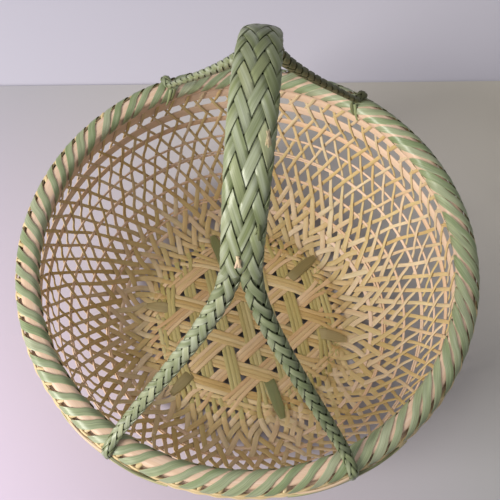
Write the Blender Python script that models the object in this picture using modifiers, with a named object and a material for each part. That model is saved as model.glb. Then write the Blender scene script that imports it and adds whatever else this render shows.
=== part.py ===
"""Bamboo basket with a split, braided handle: a round base of crossed bands, an open wall of leaning stakes with
hoops between them, a lashed rim, and an arched handle that parts into two legs at each end.

Metres, +Z up. The basket stands on z = 0 with its axis on Z, and the handle's arch lies in the YZ plane.
"""

import math

import bmesh
import bpy
from mathutils import Vector

MM = 0.001
MERGE = 0.01 * MM

# The basket as a whole
RIM_RADIUS = 130 * MM
RIM_TOP = 126.5 * MM
BASE_RADIUS = 71 * MM
SEAT_GAP = 0.3 * MM

# Rim: two hoops that clamp the stakes, a cover strip on them and the lashing round all three
RIM_WIDTH = 14 * MM
RIM_HEIGHT = 13 * MM
RIM_HOOP_THICKNESS = 3.8 * MM
RIM_COVER_HEIGHT = 2.4 * MM
RIM_CORNER = 1.6 * MM
LASHING_WIDTH = 5.6 * MM
LASHING_THICKNESS = 0.6 * MM
LASHING_LOOPS = 24

# Wall: stakes in two layers, with the hoops between the layers
STAKES_EACH_WAY = 75
STAKE_WIDTH = 2.9 * MM
STAKE_THICKNESS = 0.8 * MM
STAKE_SPREAD = 1.4 * MM
INNER_TURN_DEGREES = 25
OUTER_TURN_DEGREES = 33
WALL_CURVE_POWER = 1.8
STRAIGHT_WALL_SHARE = 0.27
FLANGE_WIDTH = 6 * MM
WALL_ROW_SHARES = (0.03, 0.2, 0.55, 1)
HOOP_THICKNESS = 0.8 * MM
WIDE_HOOP = 5.8 * MM
MIDDLE_HOOP = 3.5 * MM
DOUBLE_HOOP = 2.8 * MM
THIN_HOOP = 1.6 * MM
HOOP_WIDTHS = (THIN_HOOP, DOUBLE_HOOP, THIN_HOOP, DOUBLE_HOOP, THIN_HOOP, MIDDLE_HOOP, WIDE_HOOP, WIDE_HOOP)
HOOP_HEIGHT_SHARES = (0.052, 0.115, 0.25, 0.4, 0.53, 0.68, 0.81, 0.935)

# Base: three layers of bands, and three slats that cross under them
BANDS_EACH_WAY = 9
BAND_PITCH_SHARE = 0.24
BAND_WIDTH_SHARE = 0.6
EDGE_MARGIN = 3.5 * MM
BAND_THICKNESS = 0.8 * MM
FIRST_BAND_DEGREES = -12
BASE_RISE = 2.5 * MM
SLAT_WIDTH = 9 * MM
SLAT_THICKNESS = 1.2 * MM
FIRST_SLAT_DEGREES = -10

# Handle: a flat arch and the four legs that carry it
HANDLE_TOP = 281 * MM
ARCH_RADIUS = 63 * MM
ARCH_HALF_DEGREES = 72
BRAID_WIDTH = 18.5 * MM
BRAID_THICKNESS = 7 * MM
CROWN_SWELL_SHARE = 1.12
LEG_THICKNESS = 6 * MM
LEG_END_SHARE = 0.72
LEG_BEND_SHARE = 0.2
LEG_SPREAD_DEGREES = 28.5
TIE_WIDTH = 4.6 * MM
TIE_THICKNESS = 1.4 * MM
TIE_TURN_DEGREES = 30

# Fineness of the round pieces
RIM_SIDES = 64
HOOP_SIDES = 48
COVER_STEPS = 2
BAND_STEPS = 4
SLAT_STEPS = 10
ARCH_STEPS = 18
LEG_STEPS = 12
BRAID_SIDES = 10

collection = bpy.data.collections.new("bamboo_basket")


def material(name, hex_colour, roughness):
    """A Principled material of one colour, given as sRGB hex."""
    made = bpy.data.materials.new(name)
    made.use_nodes = True
    channels = [int(hex_colour[i:i + 2], 16) / 255 for i in (0, 2, 4)]
    linear = [c / 12.92 if c <= 0.04045 else ((c + 0.055) / 1.055) ** 2.4 for c in channels]
    shader = made.node_tree.nodes["Principled BSDF"]
    shader.inputs["Base Color"].default_value = (*linear, 1)
    shader.inputs["Roughness"].default_value = roughness
    shader.inputs["Metallic"].default_value = 0
    made.diffuse_color = (*linear, 1)
    return made


def add_object(name, mesh, finish):
    """Links a mesh as a named object with its own copy of the finish, shaded smooth."""
    made = bpy.data.objects.new(name, mesh)
    collection.objects.link(made)
    own = finish.copy()
    own.name = name
    mesh.materials.append(own)
    mesh.shade_smooth()
    mesh.set_sharp_from_angle(angle=math.radians(35))
    return made


def solidify(made, thickness):
    """Gives an open surface its thickness, half to each side."""
    shell = made.modifiers.new("thickness", "SOLIDIFY")
    shell.thickness = thickness
    shell.offset = 0
    shell.use_even_offset = True
    return shell


def mesh_from(name, shape):
    """Ends a bmesh as a mesh with its faces pointing out."""
    bmesh.ops.recalc_face_normals(shape, faces=shape.faces)
    mesh = bpy.data.meshes.new(name)
    shape.to_mesh(mesh)
    shape.free()
    return mesh


def polar(radius, angle, height):
    return Vector((radius * math.cos(angle), radius * math.sin(angle), height))


# Sizes and levels that several pieces share, from the floor up
BAND_PITCH = BASE_RADIUS * BAND_PITCH_SHARE
BAND_WIDTH = BAND_PITCH * BAND_WIDTH_SHARE
LEG_WIDTH = BRAID_WIDTH / 2
RIM_BOTTOM = RIM_TOP - RIM_HEIGHT
RIM_MIDDLE = RIM_TOP - RIM_HEIGHT / 2
RIM_MIDDLE_RADIUS = RIM_RADIUS - RIM_WIDTH / 2
LASHING_LAYER = LASHING_THICKNESS + SEAT_GAP
STAKE_TOP = RIM_TOP - LASHING_LAYER - RIM_COVER_HEIGHT - 2 * SEAT_GAP
WALL_FOOT = STAKE_SPREAD + STAKE_THICKNESS / 2
SLAT_LEVEL = WALL_FOOT + STAKE_SPREAD + (STAKE_THICKNESS + SLAT_THICKNESS) / 2 + SEAT_GAP
FIRST_BAND_LEVEL = SLAT_LEVEL + (SLAT_THICKNESS + BAND_THICKNESS) / 2 + SEAT_GAP
BAND_LAYER = BAND_THICKNESS + SEAT_GAP


def wall_profile():
    """Radius and height of the wall's middle surface, from the flange's inner edge to the stakes' top ends."""
    straight = STAKE_TOP * STRAIGHT_WALL_SHARE
    curved = STAKE_TOP - straight - WALL_FOOT
    reach = RIM_MIDDLE_RADIUS - BASE_RADIUS
    points = [(BASE_RADIUS - FLANGE_WIDTH, WALL_FOOT), (BASE_RADIUS, WALL_FOOT)]
    for share in WALL_ROW_SHARES:
        drop = 1 - share
        out = (1 - drop ** WALL_CURVE_POWER) ** (1 / WALL_CURVE_POWER)
        points.append((BASE_RADIUS + reach * out, WALL_FOOT + curved * share))
    points.append((RIM_MIDDLE_RADIUS, STAKE_TOP))
    return points


PROFILE = wall_profile()


def profile_lengths():
    """Length along the wall's profile at each of its points."""
    lengths = [0]
    for (r0, z0), (r1, z1) in zip(PROFILE, PROFILE[1:]):
        lengths.append(lengths[-1] + math.hypot(r1 - r0, z1 - z0))
    return lengths


def offset_profile(offset):
    """The wall's profile moved outwards by offset, mitred at its corners."""
    moved = []
    for i, (radius, height) in enumerate(PROFILE):
        before = PROFILE[max(i - 1, 0)]
        after = PROFILE[min(i + 1, len(PROFILE) - 1)]
        here = Vector((radius, height))
        incoming = (here - Vector(before)).normalized() if i else (Vector(after) - here).normalized()
        outgoing = (Vector(after) - here).normalized() if i < len(PROFILE) - 1 else incoming
        mitre = (incoming + outgoing).normalized()
        out = Vector((mitre.y, -mitre.x))
        moved.append(here + out * offset / mitre.dot(incoming))
    return moved


def wall_radius(height):
    """Radius of the wall's middle surface at a height above the corner."""
    for (r0, z0), (r1, z1) in zip(PROFILE[1:], PROFILE[2:]):
        if z0 <= height <= z1:
            return r0 + (r1 - r0) * (height - z0) / (z1 - z0)
    return RIM_MIDDLE_RADIUS


def revolve(name, outline, sides, finish):
    """A closed outline in the XZ plane turned round Z."""
    shape = bmesh.new()
    corners = [shape.verts.new((x, 0, z)) for x, z in outline]
    for first, second in zip(corners, corners[1:] + corners[:1]):
        shape.edges.new((first, second))
    mesh = bpy.data.meshes.new(name)
    shape.to_mesh(mesh)
    shape.free()
    made = add_object(name, mesh, finish)
    turn = made.modifiers.new("turn", "SCREW")
    turn.axis = "Z"
    turn.angle = 2 * math.pi
    turn.screw_offset = 0
    turn.steps = sides
    turn.render_steps = sides
    turn.use_merge_vertices = True
    turn.merge_threshold = MERGE
    return made


def stake_layer(name, side, turn_degrees, finish):
    """One layer of leaning stakes on a flat ring at the base's edge. side is 1 for the inner layer, -1 for the outer."""
    turn = math.radians(turn_degrees)
    columns = 2 * STAKES_EACH_WAY
    rows = len(PROFILE) - 1
    points = offset_profile(-side * STAKE_SPREAD)
    lengths = profile_lengths()
    whole = lengths[-1] - lengths[1]
    clamped = STAKE_TOP - RIM_BOTTOM
    lean = math.atan2(turn * RIM_MIDDLE_RADIUS, whole)
    shape = bmesh.new()
    bmesh.ops.create_grid(shape, x_segments=columns, y_segments=rows, size=1)
    cell_x, cell_y = 2 / columns, 2 / rows
    openings = [
        face for face in shape.faces
        if round((face.calc_center_median().x + 1) / cell_x - 0.5) % 2
        and face.calc_center_median().y > -1 + cell_y
    ]
    bmesh.ops.delete(shape, geom=openings, context="FACES")
    for corner in shape.verts:
        column = round((corner.co.x + 1) / cell_x)
        row = round((corner.co.y + 1) / cell_y)
        radius, height = points[row]
        below_crossing = (lengths[-1] - max(lengths[row], lengths[1]) - clamped) / whole
        half = STAKE_WIDTH / 2 / math.cos(lean) / radius
        middle = 2 * math.pi * (column // 2) / STAKES_EACH_WAY
        edge = half if column % 2 else -half
        turned = side * turn * below_crossing
        corner.co = polar(radius, middle + edge + turned, height)
    bmesh.ops.remove_doubles(shape, verts=shape.verts, dist=MERGE)
    made = add_object(name, mesh_from(name, shape), finish)
    solidify(made, STAKE_THICKNESS)
    return made


def wall_hoop(name, height, width, finish):
    """A flat hoop between the two layers of stakes, standing square to the wall's slope."""
    low, high = height - width / 2, height + width / 2
    slope = Vector((wall_radius(high) - wall_radius(low), high - low)).normalized()
    out = Vector((slope.y, -slope.x)) * HOOP_THICKNESS / 2
    middle = Vector((wall_radius(height), height))
    half = slope * width / 2
    outline = [middle + half - out, middle + half + out, middle - half + out, middle - half - out]
    return revolve(name, [tuple(p) for p in outline], HOOP_SIDES, finish)


def rim_outline(layer):
    """Half of the rim's outline, from its bottom out and up to its top, grown by a layer all round."""
    half_width = RIM_WIDTH / 2 - LASHING_LAYER + layer
    low = RIM_BOTTOM + LASHING_LAYER - layer
    corner = RIM_CORNER + layer * math.tan(math.pi / 8)
    shoulder = STAKE_TOP + SEAT_GAP
    crown = RIM_COVER_HEIGHT + layer
    outline = [(0, low), (half_width - corner, low), (half_width, low + corner)]
    for step in range(COVER_STEPS + 1):
        angle = math.pi / 2 * step / COVER_STEPS
        outline.append((half_width * math.cos(angle), shoulder + crown * math.sin(angle)))
    return outline


def build_rim(finish, lashing_finish):
    """The two rim hoops, the cover strip on them and the lashing."""
    outline = rim_outline(0)
    half_width = outline[2][0]
    low, high = outline[1][1], STAKE_TOP
    for name, side in (("rim_inner_hoop", -1), ("rim_outer_hoop", 1)):
        wide = half_width - RIM_HOOP_THICKNESS
        section = [(wide, high), (half_width, high), (half_width, low + RIM_CORNER), (half_width - RIM_CORNER, low)]
        section.append((wide, low))
        turned = [(RIM_MIDDLE_RADIUS + side * across, height) for across, height in section]
        revolve(name, turned if side > 0 else turned[::-1], RIM_SIDES, finish)
    crown = outline[3:]
    cover = [(RIM_MIDDLE_RADIUS - across, height) for across, height in crown]
    cover += [(RIM_MIDDLE_RADIUS + across, height) for across, height in reversed(crown[:-1])]
    revolve("rim_cover", cover, RIM_SIDES, finish)
    build_lashing(lashing_finish)


def build_lashing(finish):
    """One flat strip wound round the rim, as an open ribbon that closes on itself, with a thickness."""
    half = rim_outline(SEAT_GAP + LASHING_THICKNESS / 2)
    loop = half + [(-across, height) for across, height in reversed(half[1:-1])]
    climb_steps = len(loop) - 2
    stake_pitch = 2 * math.pi / STAKES_EACH_WAY

    def crossing(turn):
        """Angle of the opening between two stakes through which the strip passes under the rim."""
        return (round(turn * STAKES_EACH_WAY / LASHING_LOOPS) + 0.5) * stake_pitch

    steps = LASHING_LOOPS * len(loop)
    shape = bmesh.new()
    bmesh.ops.create_grid(shape, x_segments=steps, y_segments=1, size=1)
    middles = []
    for corner in shape.verts:
        turn, place = divmod(round((corner.co.x + 1) / 2 * steps), len(loop))
        across, height = loop[place]
        forward = min(max(place - 1, 0), climb_steps) / climb_steps
        radius = RIM_MIDDLE_RADIUS + across
        angle = crossing(turn) + (crossing(turn + 1) - crossing(turn)) * forward
        middles.append((turn, polar(radius, angle, height)))
        corner.co = polar(radius, angle + corner.co.y * LASHING_WIDTH / 2 / RIM_MIDDLE_RADIUS, height)
    bmesh.ops.remove_doubles(shape, verts=shape.verts, dist=MERGE)
    made = add_object("rim_lashing", mesh_from("rim_lashing", shape), finish)
    solidify(made, LASHING_THICKNESS)
    apart = min(
        (a - b).length for turn, a in middles for other, b in middles
        if 1 < abs(turn - other) < LASHING_LOOPS - 1
    )
    print(f"least gap between the lashing's loops: {(apart - LASHING_WIDTH) / MM:.2f} mm")


def strip(name, start, direction, length, width, thickness, steps, level, finish):
    """A flat strip that follows the base's slight dome. level gives its height from the run along its length."""
    side = Vector((-direction.y, direction.x))
    shape = bmesh.new()
    bmesh.ops.create_grid(shape, x_segments=steps, y_segments=1, size=1)
    for corner in shape.verts:
        run = corner.co.x * length / 2
        place = start + direction * run + side * corner.co.y * width / 2
        corner.co = (place.x, place.y, level(run) + dome(place.length))
    made = add_object(name, mesh_from(name, shape), finish)
    solidify(made, thickness)


def dome(distance):
    """Height that the base gains from its edge towards its middle."""
    return BASE_RISE * (1 - (distance / BASE_RADIUS) ** 2)


def build_base(finishes, slat_finish):
    """Three layers of parallel bands 60 degrees apart, and the slats under them."""
    for layer, (family, finish) in enumerate(zip("abc", finishes)):
        angle = math.radians(FIRST_BAND_DEGREES + 60 * layer)
        direction = Vector((math.cos(angle), math.sin(angle)))
        side = Vector((-direction.y, direction.x))
        level = FIRST_BAND_LEVEL + layer * BAND_LAYER
        for index in range(BANDS_EACH_WAY):
            farthest = BASE_RADIUS - BAND_WIDTH / 2 - EDGE_MARGIN
            aside = (index - (BANDS_EACH_WAY - 1) / 2) * BAND_PITCH
            aside = max(-farthest, min(farthest, aside))
            reach = math.sqrt((BASE_RADIUS - SEAT_GAP) ** 2 - (abs(aside) + BAND_WIDTH / 2) ** 2)
            strip(
                f"base_band_{family}{index + 1}", side * aside, direction, 2 * reach, BAND_WIDTH, BAND_THICKNESS,
                BAND_STEPS, lambda run, level=level: level, finish,
            )
    for index in range(3):
        angle = math.radians(FIRST_SLAT_DEGREES + 60 * index)
        direction = Vector((math.cos(angle), math.sin(angle)))
        drop = index * (SLAT_THICKNESS + SEAT_GAP)
        reach = math.sqrt((BASE_RADIUS - SEAT_GAP) ** 2 - (SLAT_WIDTH / 2) ** 2)
        crossing = 2 * reach / SLAT_STEPS
        strip(
            f"base_slat_{index + 1}", Vector((0, 0)), direction, 2 * reach, SLAT_WIDTH, SLAT_THICKNESS, SLAT_STEPS,
            lambda run, drop=drop: SLAT_LEVEL - drop * max(0, min(1, 2 - abs(run) / crossing)), slat_finish,
        )


def loft(name, stations, finish):
    """A closed bar through stations of (middle, across, outward, half width, half thickness)."""
    shape = bmesh.new()
    rings = []
    for middle, across, outward, half_width, half_thickness in stations:
        ring = []
        for index in range(BRAID_SIDES):
            angle = 2 * math.pi * (index + 0.5) / BRAID_SIDES
            ring.append(shape.verts.new(
                middle + across * half_width * math.cos(angle) + outward * half_thickness * math.sin(angle)
            ))
        rings.append(ring)
    for first, second in zip(rings, rings[1:]):
        for index in range(BRAID_SIDES):
            following = (index + 1) % BRAID_SIDES
            shape.faces.new((first[index], first[following], second[following], second[index]))
    shape.faces.new(rings[0])
    shape.faces.new(rings[-1])
    return add_object(name, mesh_from(name, shape), finish)


def arch_point(angle):
    """Middle of the braid on the handle's arch, angle measured from its top."""
    radius = ARCH_RADIUS - BRAID_THICKNESS / 2
    crown = HANDLE_TOP - ARCH_RADIUS
    return Vector((0, radius * math.sin(angle), crown + radius * math.cos(angle)))


def build_arch(finish):
    """The wide braid over the top, in the YZ plane, a little wider at its crown."""
    half = math.radians(ARCH_HALF_DEGREES)
    stations = []
    for step in range(ARCH_STEPS + 1):
        angle = half * (2 * step / ARCH_STEPS - 1)
        outward = Vector((0, math.sin(angle), math.cos(angle)))
        swell = 1 + (CROWN_SWELL_SHARE - 1) * math.cos(angle * math.pi / 2 / half) ** 2
        stations.append((
            arch_point(angle), Vector((1, 0, 0)), outward, BRAID_WIDTH * swell / 2, BRAID_THICKNESS / 2,
        ))
    loft("handle_arch", stations, finish)


def leg_route(side, end):
    """The leg's middle line: from the arch's end down to the rim, over it and down its outer side."""
    angle = math.radians(ARCH_HALF_DEGREES) * end
    top = arch_point(angle) + Vector((side * BRAID_WIDTH / 4, 0, 0))
    along = Vector((0, end * math.cos(angle), -math.sin(abs(angle)))).normalized()
    start = top + along * SEAT_GAP
    foot = math.radians(90 - LEG_SPREAD_DEGREES)
    radial = Vector((side * math.cos(foot), end * math.sin(foot), 0))
    lift = LEG_THICKNESS * LEG_END_SHARE / 2 + SEAT_GAP
    up = Vector((0, 0, 1))
    inner = radial * (RIM_MIDDLE_RADIUS - RIM_WIDTH / 4) + up * (RIM_TOP + lift + RIM_HEIGHT / 8)
    crest = radial * (RIM_MIDDLE_RADIUS + RIM_WIDTH / 8) + up * (RIM_TOP + lift)
    shoulder = radial * (RIM_RADIUS + lift * LEG_END_SHARE) + up * RIM_TOP
    end_point = radial * (RIM_RADIUS + lift) + up * (RIM_BOTTOM + TIE_WIDTH + SEAT_GAP)
    return start, along, inner, crest, shoulder, end_point, radial


def build_leg(name, side, end, finish):
    """One of the two braids that an end of the arch parts into, hooked over the rim."""
    start, along, inner, crest, shoulder, end_point, radial = leg_route(side, end)
    run = (inner - start).length
    stations_route = [start]
    leave = start + along * run * LEG_BEND_SHARE
    arrive = inner + (start - inner) * LEG_BEND_SHARE
    for step in range(1, LEG_STEPS):
        t = step / LEG_STEPS
        stations_route.append(
            start * (1 - t) ** 3 + leave * 3 * t * (1 - t) ** 2 + arrive * 3 * t * t * (1 - t) + inner * t ** 3
        )
    stations_route += [inner, crest, shoulder, end_point]
    foot_across = Vector((-radial.y, radial.x, 0)) * side * end * -1
    stations = []
    last = len(stations_route) - 1
    for index, middle in enumerate(stations_route):
        before = stations_route[max(index - 1, 0)]
        after = stations_route[min(index + 1, last)]
        tangent = along if index == 0 else (after - before).normalized()
        share = index / last
        across = Vector((1, 0, 0)).lerp(foot_across, share)
        across = (across - tangent * across.dot(tangent)).normalized()
        taper = 1 - (1 - LEG_END_SHARE) * share
        stations.append((
            middle, across, tangent.cross(across).normalized(), LEG_WIDTH * taper / 2, LEG_THICKNESS * taper / 2,
        ))
    loft(name, stations, finish)


def build_tie(name, side, end, finish):
    """The leg's strip ends, laid along the rim's outer side under the leg's foot."""
    start = RIM_RADIUS + SEAT_GAP
    low, high = RIM_BOTTOM, RIM_BOTTOM + TIE_WIDTH
    foot = math.radians(90 - LEG_SPREAD_DEGREES)
    turn = math.radians(TIE_TURN_DEGREES)
    shape = bmesh.new()
    steps = BAND_STEPS
    bmesh.ops.create_grid(shape, x_segments=steps, y_segments=1, size=1)
    for corner in shape.verts:
        angle = foot + corner.co.x * turn / 2
        radius = start + TIE_THICKNESS / 2
        height = (low + high) / 2 + corner.co.y * (high - low) / 2
        corner.co = Vector((side * radius * math.cos(angle), end * radius * math.sin(angle), height))
    made = add_object(name, mesh_from(name, shape), finish)
    solidify(made, TIE_THICKNESS)


def build_handle(finish, tie_finish):
    """The arch, its four legs and the ties that hold their ends."""
    build_arch(finish)
    for end, end_name in ((-1, "front"), (1, "back")):
        for side, side_name in ((-1, "left"), (1, "right")):
            build_leg(f"handle_leg_{end_name}_{side_name}", side, end, finish)
            build_tie(f"rim_tie_{end_name}_{side_name}", side, end, tie_finish)


def build_wall(stake_finish, hoop_finish):
    """The two layers of stakes and the hoops between them."""
    stake_layer("stakes_inner", 1, INNER_TURN_DEGREES, stake_finish)
    stake_layer("stakes_outer", -1, OUTER_TURN_DEGREES, stake_finish)
    for index, (share, width) in enumerate(zip(HOOP_HEIGHT_SHARES, HOOP_WIDTHS)):
        wall_hoop(f"wall_hoop_{index + 1}", WALL_FOOT + (RIM_BOTTOM - WALL_FOOT) * share, width, hoop_finish)


def main():
    for existing in list(bpy.data.objects):
        bpy.data.objects.remove(existing)
    bpy.context.scene.collection.children.link(collection)
    straw = material("straw bamboo", "C8A468", 0.55)
    pink = material("pink bamboo", "D8B093", 0.55)
    olive = material("olive bamboo", "B8B070", 0.55)
    green = material("green bamboo skin", "B4C29C", 0.4)
    tan = material("tan bamboo", "C09A5E", 0.55)
    build_base((straw, pink, olive), green)
    build_wall(tan, pink)
    build_rim(pink, green)
    build_handle(green, green)


main()
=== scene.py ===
"""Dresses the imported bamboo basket: woven splints, wall hoops, a lashed rim and a braided handle.

Every length is in metres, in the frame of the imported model: +Z up, the handle's arch in the YZ plane.
"""

import logging
import math
from dataclasses import dataclass, field
from enum import Enum
from typing import Any

import bpy
import numpy as np
from mathutils import Matrix, Vector


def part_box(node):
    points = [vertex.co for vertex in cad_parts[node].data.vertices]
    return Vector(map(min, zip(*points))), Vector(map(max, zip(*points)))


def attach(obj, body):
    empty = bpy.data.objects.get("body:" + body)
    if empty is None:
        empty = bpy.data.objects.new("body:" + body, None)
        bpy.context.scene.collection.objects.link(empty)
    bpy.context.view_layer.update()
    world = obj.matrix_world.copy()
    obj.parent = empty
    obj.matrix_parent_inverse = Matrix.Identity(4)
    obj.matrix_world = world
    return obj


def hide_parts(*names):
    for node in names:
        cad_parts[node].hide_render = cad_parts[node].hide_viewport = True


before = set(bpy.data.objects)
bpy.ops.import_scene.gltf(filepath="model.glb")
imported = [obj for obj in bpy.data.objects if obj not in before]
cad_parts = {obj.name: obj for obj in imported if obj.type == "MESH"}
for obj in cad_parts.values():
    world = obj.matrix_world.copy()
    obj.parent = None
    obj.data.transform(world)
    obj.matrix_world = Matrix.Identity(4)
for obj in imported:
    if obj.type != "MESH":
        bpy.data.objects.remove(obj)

MM = 0.001
TINY = 0.01 * MM
MERGED = 0.0001 * MM
SHARP_DEGREES = 50
FIBRE_SHIFT = 0.37
LOG = logging.getLogger("bamboo_basket")

Array = np.ndarray
Pair = tuple[float, float]
Colour = tuple[float, float, float, float]
Material = bpy.types.Material
Tree = bpy.types.NodeTree
Socket = bpy.types.NodeSocket


def srgb(code: str) -> Colour:
    """Turns an sRGB hex colour of six digits to linear, with an alpha of 1."""
    channels = [int(code[i:i + 2], 16) / 255 for i in (0, 2, 4)]
    linear = [c / 12.92 if c <= 0.04045 else ((c + 0.055) / 1.055) ** 2.4 for c in channels]
    return (linear[0], linear[1], linear[2], 1.0)


def smooth(span: Pair, value: Any) -> Any:
    """Rises smoothly from 0 at the span's start to 1 at its end.

    Args:
        span: Where the rise starts and ends.
        value: A number or an array.

    Returns:
        The share, from 0 to 1, of the same shape as value.
    """
    share = np.clip((np.asarray(value, float) - span[0]) / (span[1] - span[0]), 0, 1)
    return share * share * (3 - 2 * share)


def mix(first: Any, second: Any, share: Any) -> Any:
    """Goes from first to second as share goes from 0 to 1."""
    return first * (1 - share) + second * share


def unit(vectors: Array) -> Array:
    """Gives each row of an array of vectors the length 1."""
    return vectors / np.linalg.norm(vectors, axis=-1, keepdims=True)


def square(vectors: Array, along: Array) -> Array:
    """Turns each vector square to the direction in the same row, with the length 1."""
    return unit(vectors - along * np.sum(vectors * along, axis=1, keepdims=True))


def polar(azimuth: Array, radius: Any, height: Any) -> Array:
    """Turns azimuths, radii and heights to points or directions, one row each."""
    return np.stack([radius * np.cos(azimuth), radius * np.sin(azimuth), height + 0 * azimuth], axis=-1)


def totals(steps: Array) -> Array:
    """Adds steps up, from 0."""
    return np.concatenate([[0], np.cumsum(steps)])


def distances(points: Array) -> Array:
    """Distance of each point of a line from the first, along the line."""
    return totals(np.linalg.norm(np.diff(points, axis=0), axis=1))


def rounded(angle: Array, power: float) -> tuple[Array, Array]:
    """The cosine and the sine of an angle, each to a power with its sign kept."""
    cos, sin = np.cos(angle), np.sin(angle)
    return np.sign(cos) * np.abs(cos) ** power, np.sign(sin) * np.abs(sin) ** power


class Section(Enum):
    """Cross-sections of a strip, as shares of its width and thickness, from its top left corner clockwise."""

    SPLINT = ((-0.4, 0.5), (0.4, 0.5), (0.5, 0.15), (0.5, -0.5), (-0.5, -0.5), (-0.5, 0.15))
    LEAF = (
        (-0.44, 0.2), (-0.24, 0.43), (0.0, 0.5), (0.24, 0.43), (0.44, 0.2),
        (0.5, 0.0), (0.4, -0.28), (0.0, -0.45), (-0.4, -0.28), (-0.5, 0.0),
    )
    STRAND = (
        (-0.46, 0.42), (-0.2, 0.5), (0.2, 0.5), (0.46, 0.42),
        (0.5, 0.1), (0.48, -0.5), (0.0, -0.5), (-0.48, -0.5), (-0.5, 0.1),
    )
    HOOP = (
        (-0.42, 0.36), (-0.22, 0.48), (0.0, 0.5), (0.22, 0.48), (0.42, 0.36),
        (0.5, 0.1), (0.5, -0.5), (-0.5, -0.5), (-0.5, 0.1),
    )

    def outline(self) -> list[Pair]:
        """The section's points, with the first one again at the end."""
        return [*self.value, self.value[0]]


def deselect() -> None:
    """Leaves nothing selected, in object mode."""
    if bpy.context.object and bpy.context.object.mode != "OBJECT":
        bpy.ops.object.mode_set(mode="OBJECT")
    bpy.ops.object.select_all(action="DESELECT")


@dataclass
class Strip:
    """One strip of bamboo, as the corners of its faces.

    Attributes:
        corners: Section points by stations by 3, whose last row repeats the first.
        along: Distance of each station from the first.
        across: Place of each section point across the strip, from 0 to 1.
        tone: Where the strip lies in its finish's range of colours, from 0 to 1.
    """

    corners: Array
    along: Array
    across: list[float]
    tone: float

    @classmethod
    def laid(cls, section: Section, centres: Array, normals: Array, width: Any, thickness: Any,
             tone: float) -> "Strip":
        """Lays a section round a line.

        Args:
            section: The cross-section.
            centres: Points of the line, one row each.
            normals: Directions that the top face looks in, one row each.
            width: The strip's width, one for all points or one for each.
            thickness: Its thickness, in the same way.
            tone: Its tone.

        Returns:
            The strip.
        """
        heading = unit(np.gradient(centres, axis=0))
        facing = square(normals, heading)
        aside = np.cross(facing, heading)
        wide, thick = (np.broadcast_to(size, len(centres))[:, None] for size in (width, thickness))
        corners = [centres + aside * (wide * x) + facing * (thick * z) for x, z in section.outline()]
        return cls(np.array(corners), distances(centres), [x + 0.5 for x, _ in section.outline()], tone)

    def cut(self, first: int | None, last: int | None) -> "Strip":
        """The part between two stations."""
        return Strip(self.corners[:, first:last], self.along[first:last], self.across, self.tone)

    def model(self, shift: float) -> bpy.types.Object:
        """Shapes a grid as the strip, with its length in metres along U and its width across V.

        Args:
            shift: Added to U, so that no two strips show the same fibres.

        Returns:
            The strip as an open tube.
        """
        around, stations = self.corners.shape[:2]
        deselect()
        bpy.ops.mesh.primitive_grid_add(x_subdivisions=stations - 1, y_subdivisions=around - 1, size=1)
        made = bpy.context.object
        mesh = made.data
        mesh.vertices.foreach_set("co", self.corners.astype(np.float32).ravel())
        places = np.stack(np.meshgrid(shift + self.along, self.across), axis=-1).reshape(-1, 2)
        loops = np.empty(len(mesh.loops), np.int32)
        mesh.loops.foreach_get("vertex_index", loops)
        mesh.uv_layers[0].data.foreach_set("uv", places[loops].astype(np.float32).ravel())
        tone = mesh.attributes.new("tone", "FLOAT", "POINT")
        tone.data.foreach_set("value", np.full(len(mesh.vertices), self.tone, np.float32))
        return made


def make_piece(name: str, strips: list[Strip], finish: str, slot: str, *nodes: str) -> None:
    """Makes a piece of closed strips, dresses it and puts it in its nodes' place.

    Args:
        name: The piece's name.
        strips: Its strips.
        finish: Its finish's name.
        slot: A material slot's name, which is not used.
        *nodes: The nodes that it stands for.
    """
    made = [strip.model(FIBRE_SHIFT * index) for index, strip in enumerate(strips)]
    deselect()
    for each in made:
        each.select_set(True)
    bpy.context.view_layer.objects.active = made[0]
    if len(made) > 1:
        bpy.ops.object.join()
    piece = bpy.context.object
    piece.name = name
    piece.data.name = name
    bpy.ops.object.transform_apply(location=True, rotation=True, scale=True)
    bpy.ops.object.mode_set(mode="EDIT")
    bpy.ops.mesh.select_all(action="SELECT")
    bpy.ops.mesh.remove_doubles(threshold=MERGED)
    bpy.ops.mesh.fill_holes(sides=0)
    bpy.ops.mesh.select_all(action="SELECT")
    bpy.ops.mesh.normals_make_consistent(inside=False)
    bpy.ops.object.mode_set(mode="OBJECT")
    bpy.ops.object.shade_smooth_by_angle(angle=math.radians(SHARP_DEGREES))
    piece.data.materials.clear()
    piece.data.materials.append(material(finish))
    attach(piece, "root")
    if nodes:
        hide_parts(*nodes)
    LOG.info("%s: %d faces", piece.name, len(piece.data.polygons))


def connect(tree: Tree, node: bpy.types.Node, **inputs: Any) -> None:
    """Sets or links a node's sockets.

    Args:
        tree: The material's node tree.
        node: The node.
        **inputs: Values or sockets to link from, by name with _ for a space or by number after _.
    """
    for name, value in inputs.items():
        socket = node.inputs[int(name[1:])] if name[1:].isdigit() else node.inputs[name.replace("_", " ")]
        if isinstance(value, bpy.types.NodeSocket):
            tree.links.new(value, socket)
        else:
            socket.default_value = value


def add_node(tree: Tree, kind: str, settings: dict[str, Any] | None = None,
             stops: tuple[tuple[float, Colour], ...] = (), **inputs: Any) -> bpy.types.Node:
    """Adds a node to a material.

    Args:
        tree: The material's node tree.
        kind: The node's type.
        settings: Its properties, by name.
        stops: Positions and colours, where the node is a ramp.
        **inputs: Its sockets, as connect takes them.

    Returns:
        The node.
    """
    node = tree.nodes.new(kind)
    for name, value in (settings or {}).items():
        setattr(node, name, value)
    for _ in stops[2:]:
        node.color_ramp.elements.new(1)
    for index, (place, colour) in enumerate(stops):
        node.color_ramp.elements[index].position = place
        node.color_ramp.elements[index].color = colour
    connect(tree, node, **inputs)
    return node


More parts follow.
